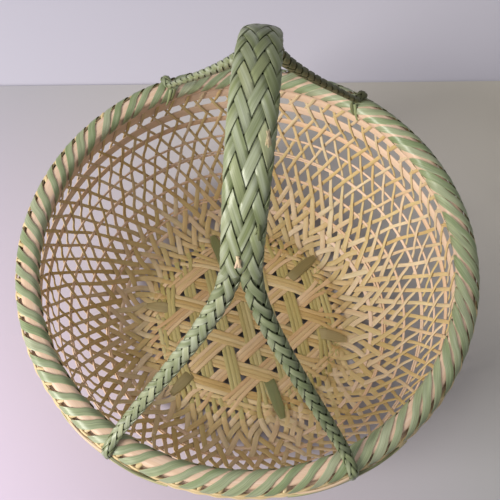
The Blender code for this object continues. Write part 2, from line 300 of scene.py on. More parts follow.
@dataclass(frozen=True)
class Bamboo:
    """Bamboo split by hand, as the skin side or the paler wood under it.

    Its fibres run along the strip and give fine streaks, and each strip has its own tone.

    Attributes:
        name: The material's name.
        tones: Colours that the strips vary between, as sRGB hex.
        stain: A second colour that comes through in long patches.
        stain_share: How much of it comes through.
        strip_width: The width of the strip that the finish is for.
        fibre: Width of a streak. Real fibres are about 0.1 mm wide and are drawn coarser, so that they show.
        fibre_length: Length of a streak.
        contrast: How much the streaks darken the colour.
        roughness: Roughness of the surface.
        relief: Depth of the streaks' bump.
        relief_share: How much of the bump shows.
        edge: Colour along both edges of the strip: pale cut edges, or, in the handle's skins, a dark colour
            that is painted shade in the slits between strands.
        edge_share: How much of the edges' colour shows.
        edge_span: Where it starts and is full, as shares of the width from the middle.
        wax: How strong the waxy gloss is that fresh skin has.
        wax_roughness: Roughness of that gloss.
        specular: How strongly the surface under it shines.
        patch: Length and width of a stained patch.
        patch_span: Values of the noise between which the stain comes through.
        streak_span: Values of the noise between which the streaks lie.
    """

    name: str
    tones: tuple[str, ...]
    stain: str
    stain_share: float
    strip_width: float
    fibre: float = 0.35 * MM
    fibre_length: float = 14 * MM
    contrast: float = 0.16
    roughness: float = 0.5
    relief: float = 0.06 * MM
    relief_share: float = 0.6
    edge: str = "E6D6AE"
    edge_share: float = 0.0
    edge_span: Pair = (0.41, 0.5)
    wax: float = 0.0
    wax_roughness: float = 0.34
    specular: float = 0.4
    patch: Pair = (45 * MM, 2.5 * MM)
    patch_span: Pair = (0.42, 0.75)
    streak_span: Pair = (0.3, 0.7)

    def build(self) -> Material:
        """Makes the material.

        Returns:
            The material.
        """
        made = bpy.data.materials.new(self.name)
        made.use_nodes = True
        tree = made.node_tree
        tone = add_node(tree, "ShaderNodeAttribute", {"attribute_name": "tone"}).outputs["Fac"]
        last = len(self.tones) - 1
        stops = tuple((index / last, srgb(code)) for index, code in enumerate(self.tones))
        base = add_node(tree, "ShaderNodeValToRGB", stops=stops, Fac=tone).outputs["Color"]
        place = add_node(tree, "ShaderNodeUVMap").outputs["UV"]
        streaks = self.flecks(tree, place, (self.fibre_length, self.fibre), 3)
        patches = self.flecks(tree, place, self.patch, 2)
        stained = self.within(tree, patches, self.patch_span, self.stain_share)
        base = self.blend(tree, "MIX", stained, base, srgb(self.stain))
        dark = 1 - self.contrast
        stops = ((self.streak_span[0], (dark, dark, dark, 1)), (self.streak_span[1], (1, 1, 1, 1)))
        darker = add_node(tree, "ShaderNodeValToRGB", stops=stops, Fac=streaks).outputs["Color"]
        base = self.blend(tree, "MULTIPLY", 1.0, base, darker)
        # Colour along both edges of the strip: pale cut edges on some finishes; on the handle's skins it is
        # dark, painted shade in the slits where strands tuck under their neighbours.
        if self.edge_share:
            across = add_node(tree, "ShaderNodeSeparateXYZ", Vector=place).outputs["Y"]
            aside = add_node(tree, "ShaderNodeMath", {"operation": "SUBTRACT"}, _0=across, _1=0.5).outputs[0]
            aside = add_node(tree, "ShaderNodeMath", {"operation": "ABSOLUTE"}, _0=aside).outputs[0]
            cut_edge_and_shade = self.within(tree, aside, self.edge_span, self.edge_share)
            base = self.blend(tree, "MIX", cut_edge_and_shade, base, srgb(self.edge))
        bump = add_node(
            tree, "ShaderNodeBump", Height=streaks, Distance=self.relief, Strength=self.relief_share)
        connect(
            tree, tree.nodes["Principled BSDF"], Base_Color=base, Roughness=self.roughness,
            Specular_IOR_Level=self.specular, Coat_Weight=self.wax, Coat_Roughness=self.wax_roughness,
            Normal=bump.outputs["Normal"],
        )
        return made

    def flecks(self, tree: Tree, place: Socket, size: Pair, detail: float) -> Socket:
        """Adds noise drawn out along the strip.

        Args:
            tree: The material's node tree.
            place: The strip's own coordinates.
            size: Length and width of a fleck.
            detail: Detail of the noise.

        Returns:
            The socket with the noise.
        """
        scale = (1 / size[0], self.strip_width / size[1], 1)
        scaled = add_node(tree, "ShaderNodeMapping", Vector=place, Scale=scale).outputs["Vector"]
        return add_node(tree, "ShaderNodeTexNoise", Vector=scaled, Scale=1.0, Detail=detail).outputs["Fac"]

    def within(self, tree: Tree, value: Socket, span: Pair, most: float) -> Socket:
        """Rises from 0 to most as the value crosses the span."""
        return add_node(
            tree, "ShaderNodeMapRange", Value=value, From_Min=span[0], From_Max=span[1], To_Max=most
        ).outputs["Result"]

    def blend(self, tree: Tree, kind: str, share: Any, first: Any, second: Any) -> Socket:
        """Mixes the second colour into the first, by the blend of the given type."""
        settings = {"data_type": "RGBA", "blend_type": kind}
        return add_node(tree, "ShaderNodeMix", settings, _0=share, _6=first, _7=second).outputs[2]


@dataclass(frozen=True)
class Matt:
    """Plain matt paper for the floor and the backdrop, whose colour shifts between its four corners. On the
    floor that shift is painted light and shade; on the backdrop it is slight.

    Attributes:
        name: The material's name.
        front: Its colours at the front left and the front right, as sRGB hex.
        back: Its colours at the back left and the back right.
        across: Where its left and its right colours are reached.
        ahead: Where its front and its back colours are.
        roughness: Roughness of the paper.
        specular: How strongly it shines.
    """

    name: str
    front: tuple[str, str]
    back: tuple[str, str]
    across: Pair = (-0.2, 0.2)
    ahead: Pair = (-0.15, 0.2)
    roughness: float = 0.9
    specular: float = 0.1

    def build(self) -> Material:
        """Makes the material.

        Returns:
            The material.
        """
        made = bpy.data.materials.new(self.name)
        made.use_nodes = True
        tree = made.node_tree
        place = add_node(tree, "ShaderNodeTexCoord").outputs["Object"]
        split = add_node(tree, "ShaderNodeSeparateXYZ", Vector=place)
        across, ahead = (
            add_node(tree, "ShaderNodeMapRange", Value=split.outputs[axis], From_Min=low, From_Max=high)
            for axis, (low, high) in (("X", self.across), ("Y", self.ahead))
        )
        front, back = (
            add_node(tree, "ShaderNodeValToRGB", stops=((0, srgb(left)), (1, srgb(right))),
                     Fac=across.outputs["Result"]).outputs["Color"]
            for left, right in (self.front, self.back)
        )
        paper = add_node(
            tree, "ShaderNodeMix", {"data_type": "RGBA"}, _0=ahead.outputs["Result"], _6=front, _7=back)
        connect(tree, tree.nodes["Principled BSDF"], Base_Color=paper.outputs[2], Roughness=self.roughness,
                Specular_IOR_Level=self.specular)
        return made


# The wood under the skin is pale and fibrous, and paler again where it was scraped. Fresh skin is green with
# a waxy gloss and dries to brown.
FINISHES = {
    "straw_splint": Bamboo(
        "split bamboo, inner wood", ("BE9F64", "D4B984", "C6AF76", "E0CA9E"), "CFAC7A", 0.4, 2.8 * MM),
    "pink_splint": Bamboo(
        "split bamboo, outer wood", ("CAA676", "D8B98E", "E0C49E", "C8AC72"), "DFBC9E", 0.45, 2.8 * MM),
    "olive_splint": Bamboo(
        "split bamboo, near the skin", ("B2A36A", "C2B47C", "B6A364", "CCBE8C"), "A6A468", 0.5, 2.8 * MM),
    "tan_splint": Bamboo(
        "split bamboo stakes", ("C4A872", "D0B68A", "C6AE7A", "D7C3A4", "D1B592"), "BDB27E", 0.5, 2.2 * MM),
    "hoop_wood": Bamboo("split bamboo hoops", ("D9B797", "DEC3AA", "D7B18A"), "E4CAB8", 0.6, 5 * MM),
    "rim_wood": Bamboo("scraped bamboo", ("CFB094", "DABEA8"), "E0CABC", 0.6, 12 * MM, fibre=0.5 * MM),
    "cane": Bamboo("thin bamboo strands", ("CDB888", "DECAA2"), "BCA070", 0.4, 1.7 * MM),
    # Fresh skin for the handle. Its dark edge colour is painted shade in the slits between strands.
    "skin": Bamboo(
        "fresh bamboo skin", ("667248", "8A936B", "76815A", "9DA37D"), "BAC2B0", 0.65, 3.7 * MM,
        fibre_length=22 * MM, contrast=0.3, roughness=0.42, edge="46482A", edge_share=0.5, wax=0.3,
    ),
    # Dried skin for the back right leg. Its dark edge colour is painted shade in the slits between strands.
    "old_skin": Bamboo(
        "dried bamboo skin", ("4C5232", "6E7450", "5C6240", "7C7E5C"), "6C6244", 0.5, 3.7 * MM,
        fibre_length=22 * MM, contrast=0.3, edge="2E2E1C", edge_share=0.55,
    ),
    # A darker copy of the fresh skin: painted shade for the front right leg, which faces away from the light.
    # Its dark edge colour is painted shade in the slits between strands.
    "painted_shade_skin": Bamboo(
        "bamboo skin darkened as painted shade", ("586444", "7A855F", "697650", "8D966D"), "A6AC90", 0.6, 3.7 * MM,
        fibre_length=22 * MM, contrast=0.34, roughness=0.42, edge="2E3420", edge_share=0.55, wax=0.3,
    ),
    "wrap_skin": Bamboo(
        "fresh bamboo skin lashing", ("83946A", "9CA682", "8A9A70", "AAB092"), "B6BEA4", 0.5, 4.2 * MM,
        fibre_length=22 * MM, contrast=0.46, roughness=0.4, edge="BEC096", edge_share=0.3, wax=0.2,
    ),
    "tie_skin": Bamboo(
        "dried bamboo ends", ("463C22", "7A8458", "94A074", "C9BE92", "D9BCA2"), "A0A480", 0.4, 2.8 * MM,
        fibre_length=20 * MM, contrast=0.25, roughness=0.45,
    ),
    "slat_skin": Bamboo(
        "bamboo skin slats", ("A5966C", "8C7F54", "7E8458"), "8A7A54", 0.4, 7.4 * MM,
        fibre_length=25 * MM, contrast=0.22,
    ),
    # Near black: the core shows through the slits between strands as painted shade.
    "core": Bamboo("braid core, dark as painted shade", ("22281A", "2C3320"), "1C2014", 0.3, 8 * MM),
    # The floor's colours are painted light and shade: lightest at the front left, where the key lamp's light
    # falls, and darker at the front right and the back left.
    "floor": Matt("floor paper", ("D1C3DC", "989A9E"), ("ABAAB3", "C6C1B8")),
    "backdrop": Matt("backdrop paper", ("C5C3D4", "C7C5D2"), ("C5C3D4", "C7C5D2")),
}


def material(name: str) -> Material:
    """The material of the finish with that name, made when it is first used."""
    return bpy.data.materials.get(FINISHES[name].name) or FINISHES[name].build()


@dataclass
class Bowl:
    """The surface that the weave follows, from the middle of the base up to the rim.

    A place on it is an azimuth and a distance from the axis, measured along the surface past the base's edge.

    Attributes:
        base_radius: Radius of the base's edge.
        rim_radius: Radius of the rim's middle.
        foot: Height of the base's edge.
        rise: How much higher the base's middle is.
        dome_power: How flat the base's middle is.
        top: Height at which the stakes end.
        straight_share: Share of the height that stands upright.
        curve_power: Fullness of the curve below that.
        near: Distance over which the surface's slope is taken.
        table: Rows of distances, radii and heights along the surface.
    """

    base_radius: float = 71 * MM
    rim_radius: float = 123 * MM
    foot: float = 1.2 * MM
    rise: float = 7.2 * MM
    dome_power: float = 4
    top: float = 122.4 * MM
    straight_share: float = 0.27
    curve_power: float = 1.8
    near: float = 1.5 * MM
    table: Array = field(init=False)

    def __post_init__(self) -> None:
        """Works out radius and height along the surface."""
        inner = np.linspace(0, self.base_radius, 90)[:-1]
        domed = self.foot + self.rise * (1 - (inner / self.base_radius) ** self.dome_power)
        share = np.linspace(0, 1, 300) ** 2
        out = (1 - (1 - share) ** self.curve_power) ** (1 / self.curve_power)
        flared = self.base_radius + (self.rim_radius - self.base_radius) * out
        curved = self.top * (1 - self.straight_share) - self.foot
        radius = np.concatenate([inner, flared, [self.rim_radius]])
        height = np.concatenate([domed, self.foot + curved * share, [self.top]])
        distance = totals(np.hypot(np.diff(radius), np.diff(height)))
        distance += self.base_radius - distance[len(inner)]
        distance[:len(inner)] = inner
        self.table = np.array([distance, radius, height])

    @property
    def reach(self) -> float:
        """Distance from the axis to the stakes' top ends, along the surface."""
        return float(self.table[0, -1])

    def distance_at(self, height: float) -> float:
        """Distance along the surface at a height of the wall."""
        wall = self.table[:, self.table[0] >= self.base_radius]
        return float(np.interp(height, wall[2], wall[0]))

    def profile(self, distance: Array) -> Array:
        """Rows of radii and heights at distances along the surface."""
        return np.array([np.interp(distance, self.table[0], row) for row in self.table[1:]])

    def points(self, azimuth: Array, distance: Array, lift: Array) -> tuple[Array, Array]:
        """Places points over the surface.

        Args:
            azimuth: Their azimuths, in radians.
            distance: Their distances along the surface.
            lift: How far they lie inside of the surface, or above it on the base.

        Returns:
            The points and the surface's normals there, which look inside.
        """
        run, climb = self.profile(distance + self.near) - self.profile(distance - self.near)
        size = np.hypot(run, climb)
        normals = polar(azimuth, -climb / size, run / size)
        return polar(azimuth, *self.profile(distance)) + normals * lift[:, None], normals


class Lean(Enum):
    """Which way a stake leans as it climbs, seen from inside: its azimuth falls or rises."""

    FALLING = -1
    RISING = 1


@dataclass(frozen=True)
class Family:
    """One of the base's three families of parallel bands.

    Attributes:
        letter: Its letter in the nodes' names.
        slot: Its material slot.
        place_signs: Signs of the run and of the band's number in the count of crossings along a band.
        order_signs: Signs of the band's number and of the crossing's in the pattern that repeats every three.
        levels: The band's levels at that pattern's three crossings.
    """

    letter: str
    slot: str
    place_signs: tuple[int, int]
    order_signs: tuple[int, int]
    levels: tuple[float, float, float]


@dataclass
class Weave:
    """The splints: three families of bands on the base, whose split ends climb the wall as stakes.

    Each family has 25 splints, three to a band. Each splint leaves the base at both ends. A span is two
    distances along the surface, between which something comes or goes, and a pair is for the falling and the
    rising stakes.

    Attributes:
        bowl: The surface that they follow.
        hoops: Where the hoops lie on it, from below.
        families: The families of bands.
        first_direction: Direction of the first family, in degrees.
        band_pitch: Distance between the middles of neighbouring bands.
        splint_pitch: Distance between neighbouring splints in a band.
        splint_width: Width of a splint on the base.
        low_width: Width of the stakes low on the wall.
        high_widths: Pair of their widths high on the wall.
        width_shares: Range of a single stake's width, as a share of its pair's.
        thickness: Thickness of a splint.
        last_splint: Number of the outermost splint, counted from the middle one.
        level: How far a band on top or at the bottom of a crossing lies from the middle.
        plateau_share: Share of the way to the next crossing that a band stays level.
        stake_spread: How far the stakes lie from the wall's middle surface.
        low_spread: How far they do low on the wall, where they are woven over two and under two.
        dive: How quickly a stake changes sides there.
        swap: Half of the distance over which the leans change sides between two hoops.
        turns: Pair of how far the stakes go round on the wall, in degrees.
        early_turn: How much farther round they go low on the wall, in degrees.
        early_length: Distance over which they do.
        piece_edge: Distance at which the base's pieces end and the stakes start.
        spread_span: Span in which a band's splints spread out.
        settled: Distance at which the stakes are evenly spaced.
        settle_lead: How long before the spread's end they start to settle.
        edge_margin: How far past its own edge a splint at a family's side does.
        bunch: How far a band's splints draw together low on the wall, as a share of their spacing.
        bunch_span: Span in which they draw together.
        loose_span: Span in which they part again.
        sway: How far a stake wanders aside, in degrees.
        sway_lengths: Lengths of the long and the short bends that it wanders in.
        sway_spans: Spans in which the wandering comes and goes.
        low_end: Span in which the low weave ends.
        standing_span: Span in which the bands' weave turns to the stakes'.
        widening_span: Span in which the splints widen.
        narrowing_span: Span in which the stakes narrow.
        step: Distance between stations on the base.
        wall_step: Distance between stations on the wall.
    """

    bowl: Bowl
    hoops: list[float]
    families: tuple[Family, ...] = (
        Family("a", "straw_splint", (-1, -1), (1, -1), (0.0, 1.0, -1.0)),
        Family("b", "pink_splint", (-1, 1), (1, 1), (-1.0, 0.0, 1.0)),
        Family("c", "olive_splint", (1, -1), (-1, 1), (1.0, -1.0, 0.0)),
    )
    first_direction: float = -12
    band_pitch: float = 17 * MM
    splint_pitch: float = 2.85 * MM
    splint_width: float = 2.75 * MM
    low_width: float = 3.7 * MM
    high_widths: Pair = (2.2 * MM, 1.9 * MM)
    width_shares: Pair = (0.85, 1.12)
    thickness: float = 0.5 * MM
    last_splint: int = 12
    level: float = 0.55 * MM
    plateau_share: float = 0.33
    stake_spread: float = 0.8 * MM
    low_spread: float = 0.85 * MM
    dive: float = 2.6
    swap: float = 4 * MM
    turns: Pair = (25, 33)
    early_turn: float = 7
    early_length: float = 20 * MM
    piece_edge: float = 68 * MM
    spread_span: Pair = (50 * MM, 65 * MM)
    settled: float = 94 * MM
    settle_lead: float = 2 * MM
    edge_margin: float = 1.5 * MM
    bunch: float = 0.13
    bunch_span: Pair = (60 * MM, 74 * MM)
    loose_span: Pair = (84 * MM, 116 * MM)
    sway: float = 0.3
    sway_lengths: Pair = (19 * MM, 8 * MM)
    sway_spans: tuple[Pair, Pair] = ((70 * MM, 95 * MM), (210 * MM, 220 * MM))
    low_end: Pair = (106 * MM, 114 * MM)
    standing_span: Pair = (58 * MM, 66 * MM)
    widening_span: Pair = (60 * MM, 70 * MM)
    narrowing_span: Pair = (92 * MM, 135 * MM)
    step: float = 1.6 * MM
    wall_step: float = 1.84 * MM

    def __post_init__(self) -> None:
        """Works out the stakes' even places and where the leans cross."""
        self.random = np.random.default_rng(7)
        self.numbers = range(-self.last_splint, self.last_splint + 1)
        self.stake_pitch = math.radians(360 / (3 * len(self.numbers)))
        self.node_pitch = self.band_pitch / math.sin(math.radians(60))
        self.starts: dict[Lean, dict[tuple[int, int], float]] = {}
        for lean in Lean:
            ends = [(turn, number) for turn in range(6) for number in self.numbers]
            ends = sorted((end for end in ends if self.lean_of(*end) is lean), key=self.natural_start)
            natural = np.array([self.natural_start(end) for end in ends])
            even = np.arange(len(ends)) * self.stake_pitch
            even += float(np.mean(natural - even))
            self.starts[lean] = dict(zip(ends, even))

    def natural_start(self, end: tuple[int, int]) -> float:
        """Azimuth at which an end leaves the base when nothing bends it, in radians."""
        return math.radians(self.first_direction + 60 * end[0]) + end[1] * self.stake_pitch

    def lean_of(self, turn: int, number: int) -> Lean:
        """The lean of a splint's end.

        Args:
            turn: Which of the six directions it leaves in.
            number: The splint's number, counted to the left of that direction.

        Returns:
            Its lean. The middle splint leans one way at one end and the other way at the other.
        """
        if number == 0:
            return Lean.FALLING if turn % 2 == 0 else Lean.RISING
        return Lean.FALLING if number > 0 else Lean.RISING

    def centre_offset(self, number: int) -> float:
        """Offset of a splint from its family's middle, where the bands are still whole."""
        band = round(number / 3)
        if abs(band) == round(self.last_splint / 3):
            inward = self.splint_pitch * (self.last_splint - abs(number))
            return math.copysign(self.edge_offset(self.last_splint) - inward, number)
        return self.band_pitch * band + self.splint_pitch * (number - 3 * band)

    def edge_offset(self, number: int) -> float:
        """Offset of a splint from its family's middle, where the splints have spread."""
        return self.bowl.base_radius * math.sin(number * self.stake_pitch)

    def band_level(self, family: Family, band: int, run: Array) -> Array:
        """Height of a band over the base's middle surface.

        Args:
            family: The family.
            band: The band's number, counted from the middle one.
            run: Places along the family's direction.

        Returns:
            The level at each place: 1 on top, 0 in the middle and -1 at the bottom.
        """
        ahead, aside = family.place_signs
        place = ahead * run / self.node_pitch + aside * band / 2
        node = np.floor(place)
        of_band, of_node = family.order_signs
        levels = np.array(family.levels)
        here, following = (
            levels[((of_band * band + of_node * count) % 3).astype(int)] for count in (node, node + 1)
        )
        return mix(here, following, smooth((self.plateau_share, 1 - self.plateau_share), place - node))

    def wall_side(self, lean: Lean, distance: Array) -> Array:
        """Which side of the wall a stake is on. The two leans change places between one hoop and the next.

        Args:
            lean: The stake's lean.
            distance: Places along the surface.

        Returns:
            The side at each place: 1 inside of the hoops and -1 outside.
        """
        side = np.ones(len(distance))
        for index, (low, high) in enumerate(zip(self.hoops, self.hoops[1:])):
            middle = (low + high) / 2
            change = 2 * smooth((middle - self.swap, middle + self.swap), distance)
            side += change if index % 2 else -change
        return side * lean.value

    def turned(self, lean: Lean, distance: Array) -> Array:
        """How far round the stakes of a lean have gone at places along the surface, in radians."""
        past = distance - self.bowl.base_radius
        whole = self.turns[lean is Lean.RISING]
        early = self.early_turn * (1 - np.exp(-past / self.early_length))
        return lean.value * np.radians(whole * past / (self.bowl.reach - self.bowl.base_radius) + early)

    def twill(self, azimuth: Array, distance: Array) -> Array:
        """Which lean lies inside low on the wall, where each passes over two and under two of the other.

        Args:
            azimuth: Azimuths, in radians.
            distance: Places along the surface.

        Returns:
            1 where the falling stakes lie inside and -1 where the rising ones do.
        """
        counted = sum(
            (azimuth - min(self.starts[lean].values()) - self.turned(lean, distance)) / self.stake_pitch
            for lean in Lean
        )
        return np.tanh(self.dive * np.sin(math.pi / 2 * (counted + 0.5)))

    def end_path(self, turn: int, number: int) -> Array:
        """Follows a splint from its middle out over the base and up the wall.

        Args:
            turn: Which of the six directions it goes in.
            number: The splint's number, counted to the left of that direction.

        Returns:
            Rows of azimuths, distances and lifts.
        """
        heading = math.radians(self.first_direction + 60 * turn)
        centre, edge = self.centre_offset(number), self.edge_offset(number)
        run = np.arange(0, math.sqrt(self.piece_edge ** 2 - edge ** 2), self.step)
        aside = mix(centre, edge, smooth(self.spread_span, np.hypot(run, centre)))
        wall = np.arange(self.piece_edge, self.bowl.reach, self.wall_step)
        distance = np.concatenate([np.hypot(run, aside), wall])
        azimuth = heading + np.concatenate([np.arctan2(aside, run), np.arcsin(edge / wall)])
        lean = self.lean_of(turn, number)
        even = self.starts[lean][(turn, number)] + self.turned(lean, distance)
        bending = max(self.spread_span[1] - self.settle_lead, abs(edge) + self.edge_margin)
        azimuth = mix(azimuth, even, smooth((bending, self.settled), distance))
        band = round(number / 3)
        drawn = smooth(self.bunch_span, distance) * (1 - smooth(self.loose_span, distance))
        azimuth = azimuth - drawn * self.bunch * self.stake_pitch * (number - 3 * band)
        long, shift, short = self.random.uniform(-1, 1, 3)
        bends = long * np.sin(distance / self.sway_lengths[0] + 3 * shift)
        bends = bends + short * np.sin(distance / self.sway_lengths[1])
        on_wall = smooth(self.sway_spans[0], distance) * (1 - smooth(self.sway_spans[1], distance))
        azimuth = azimuth + on_wall * math.radians(self.sway) * bends
        sign = 1 if turn < 3 else -1
        ahead = distance * np.cos(azimuth - heading) * sign
        flat = self.band_level(self.families[turn % 3], sign * band, ahead) * self.level
        woven = self.twill(azimuth, distance) * -lean.value * self.low_spread
        high = self.wall_side(lean, distance) * self.stake_spread
        standing = mix(woven, high, smooth(self.low_end, distance))
        return np.array([azimuth, distance, mix(flat, standing, smooth(self.standing_span, distance))])

    def strip(self, path: Array, tone: float, width: float) -> Strip:
        """Lays a splint along its path.

        Args:
            path: Rows of azimuths, distances and lifts.
            tone: Its tone.
            width: Its width high on the wall.

        Returns:
            The strip.
        """
        low = mix(self.splint_width, self.low_width, smooth(self.widening_span, path[1]))
        widths = mix(low, width, smooth(self.narrowing_span, path[1]))
        return Strip.laid(Section.SPLINT, *self.bowl.points(*path), widths, self.thickness, tone)

    def build(self) -> None:
        """Makes the bands of the base and the two sets of stakes."""
        stakes: dict[Lean, list[Strip]] = {lean: [] for lean in Lean}
        for turn, family in enumerate(self.families):
            bands: dict[int, list[Strip]] = {}
            for number in self.numbers:
                tone = float(self.random.uniform(0, 1))
                width_share = float(self.random.uniform(*self.width_shares))
                ends = ((turn, number), (turn + 3, -number))
                paths = [self.end_path(*end) for end in ends]
                ahead, behind = (path[:, path[1] <= self.piece_edge + TINY] for path in paths)
                flat = np.concatenate([behind[:, :0:-1], ahead], axis=1)
                bands.setdefault(round(number / 3), []).append(self.strip(flat, tone, self.splint_width))
                for end, path in zip(ends, paths):
                    lean = self.lean_of(*end)
                    upper = path[:, path[1] >= self.piece_edge - TINY]
                    width = self.high_widths[lean is Lean.RISING] * width_share
                    stakes[lean].append(self.strip(upper, tone, width))
            for band, strips in sorted(bands.items()):
                name = f"band_{family.letter}{band + 5}"
                make_piece(name, strips, family.slot, family.slot, f"base_{name}")
        make_piece("stakes_falling", stakes[Lean.FALLING], "tan_splint", "tan_splint", "stakes_inner")
        make_piece("stakes_rising", stakes[Lean.RISING], "tan_splint", "tan_splint", "stakes_outer")


@dataclass
class WallHoops:
    """The hoops between the two sets of stakes, each a strip whose ends overlap.

    Attributes:
        bowl: The surface that they follow.
        count: How many there are.
        thickness: Thickness of a hoop.
        overlap: How far the ends overlap, in degrees.
        lap_share: How far they lie apart, as a share of the thickness.
        doubles: Numbers of the hoops that are two strands side by side.
        broad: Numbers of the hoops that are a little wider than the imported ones.
        broad_share: Their width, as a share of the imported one.
        strand_gap: Gap between two strands side by side.
        wander: How far a hoop wanders up and down, in three waves a turn and in seven.
    """

    bowl: Bowl
    count: int = 8
    thickness: float = 0.6 * MM
    overlap: float = 14
    lap_share: float = 0.9
    doubles: tuple[int, ...] = (2, 4)
    broad: tuple[int, ...] = (6, 7, 8)
    broad_share: float = 1.25
    strand_gap: float = 0.3 * MM
    wander: Pair = (0.35 * MM, 0.2 * MM)

    def place(self, number: int) -> Pair:
        """Distance along the surface of a packed hoop's middle, and the hoop's width."""
        low, high = (corner.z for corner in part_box(f"wall_hoop_{number}"))
        distance = self.bowl.distance_at
        return distance((low + high) / 2), distance(high) - distance(low)

    def middles(self) -> list[float]:
        """Distances along the surface of all hoops' middles, from below."""
        return sorted(self.place(number)[0] for number in range(1, self.count + 1))

    def build(self) -> None:
        """Makes the hoops."""
        random = np.random.default_rng(11)
        for number in range(1, self.count + 1):
            distance, width = self.place(number)
            width *= self.broad_share if number in self.broad else 1
            strips = []
            for side in (-1, 1) if number in self.doubles else (0,):
                strand_width = (width - self.strand_gap) / 2 if side else width
                start = float(random.uniform(0, 2 * math.pi))
                azimuth = start + np.radians(np.arange(0, 360 + self.overlap, 2))
                laps = np.linspace(-0.5, 0.5, len(azimuth)) * self.thickness * self.lap_share
                middle = distance + side * (strand_width + self.strand_gap) / 2
                wander = self.wander[0] * np.sin(3 * azimuth + start) + self.wander[1] * np.sin(7 * azimuth)
                line = self.bowl.points(azimuth, middle + wander, laps)
                tone = float(random.uniform(0, 1))
                strips.append(Strip.laid(Section.SPLINT, *line, strand_width, self.thickness, tone))
            make_piece(f"hoop_{number}", strips, "hoop_wood", "pink_splint", f"wall_hoop_{number}")


@dataclass
class BaseSlats:
    """Three wide green slats that cross under the base, whose ends come up through the weave.

    Attributes:
        bowl: The surface that they follow.
        directions: Directions of the slats, in degrees.
        width: Width of a slat.
        thickness: Thickness of a slat.
        reach: Distance from the axis to a slat's ends, along the surface.
        below: How far under the surface the top slat lies.
        above: How far over it the ends lie.
        crossing_share: Distance between two slats where they cross, as a share of the thickness.
        crossing_span: Distances from the axis between which they come together again.
        dive_span: Distances between which an end comes up through the weave.
        later: How much farther out each slat's two ends come up, far end first.
        taper_share: How much narrower a slat is at its ends.
        taper_length: Length over which it narrows.
        taper_power: How late it does.
    """

    bowl: Bowl
    directions: tuple[float, ...] = (-5, 50, 115)
    width: float = 7.4 * MM
    thickness: float = 0.9 * MM
    reach: float = 72 * MM
    below: float = 1.55 * MM
    above: float = 1.5 * MM
    crossing_share: float = 1.25
    crossing_span: Pair = (8 * MM, 20 * MM)
    dive_span: Pair = (41 * MM, 50 * MM)
    later: tuple[Pair, ...] = ((10 * MM, 7 * MM), (8 * MM, 0.0), (0.0, 0.0))
    taper_share: float = 0.45
    taper_length: float = 11 * MM
    taper_power: float = 1.5

    def build(self) -> None:
        """Makes the slats."""
        run = np.linspace(-self.reach, self.reach, 97)
        distance = np.abs(run)
        narrow = smooth((self.reach - self.taper_length, self.reach), distance) ** self.taper_power
        width = self.width * (1 - self.taper_share * narrow)
        for index, direction in enumerate(self.directions):
            azimuth = math.radians(direction) + np.where(run < 0, math.pi, 0)
            crossing = self.thickness * self.crossing_share * index
            low = -self.below - crossing * (1 - smooth(self.crossing_span, distance))
            shown = distance - np.where(run < 0, *self.later[index])
            lift = mix(low, self.above, smooth(self.dive_span, shown))
            places, normals = self.bowl.points(azimuth, distance, lift)
            strip = Strip.laid(Section.HOOP, places, normals, width, self.thickness, 0.5 * index)
            name = f"slat_{index + 1}"
            make_piece(name, [strip], "slat_skin", "green_skin", f"base_{name}")


@dataclass(frozen=True)
class Ring:
    """A strip all the way round the rim, whose ends overlap.

    Attributes:
        out: How far outside of the rim's middle it runs.
        height: Height of its middle line.
        facing: Direction of its top face, outwards and upwards.
        width: Its width.
        thickness: Its thickness.
        tone: Its tone.
        start: Azimuth of its first end.
        wave: How far it stands off between two turns of the lashing.
    """

    out: float
    height: float
    facing: Pair
    width: float
    thickness: float
    tone: float
    start: float
    wave: float = 0.0


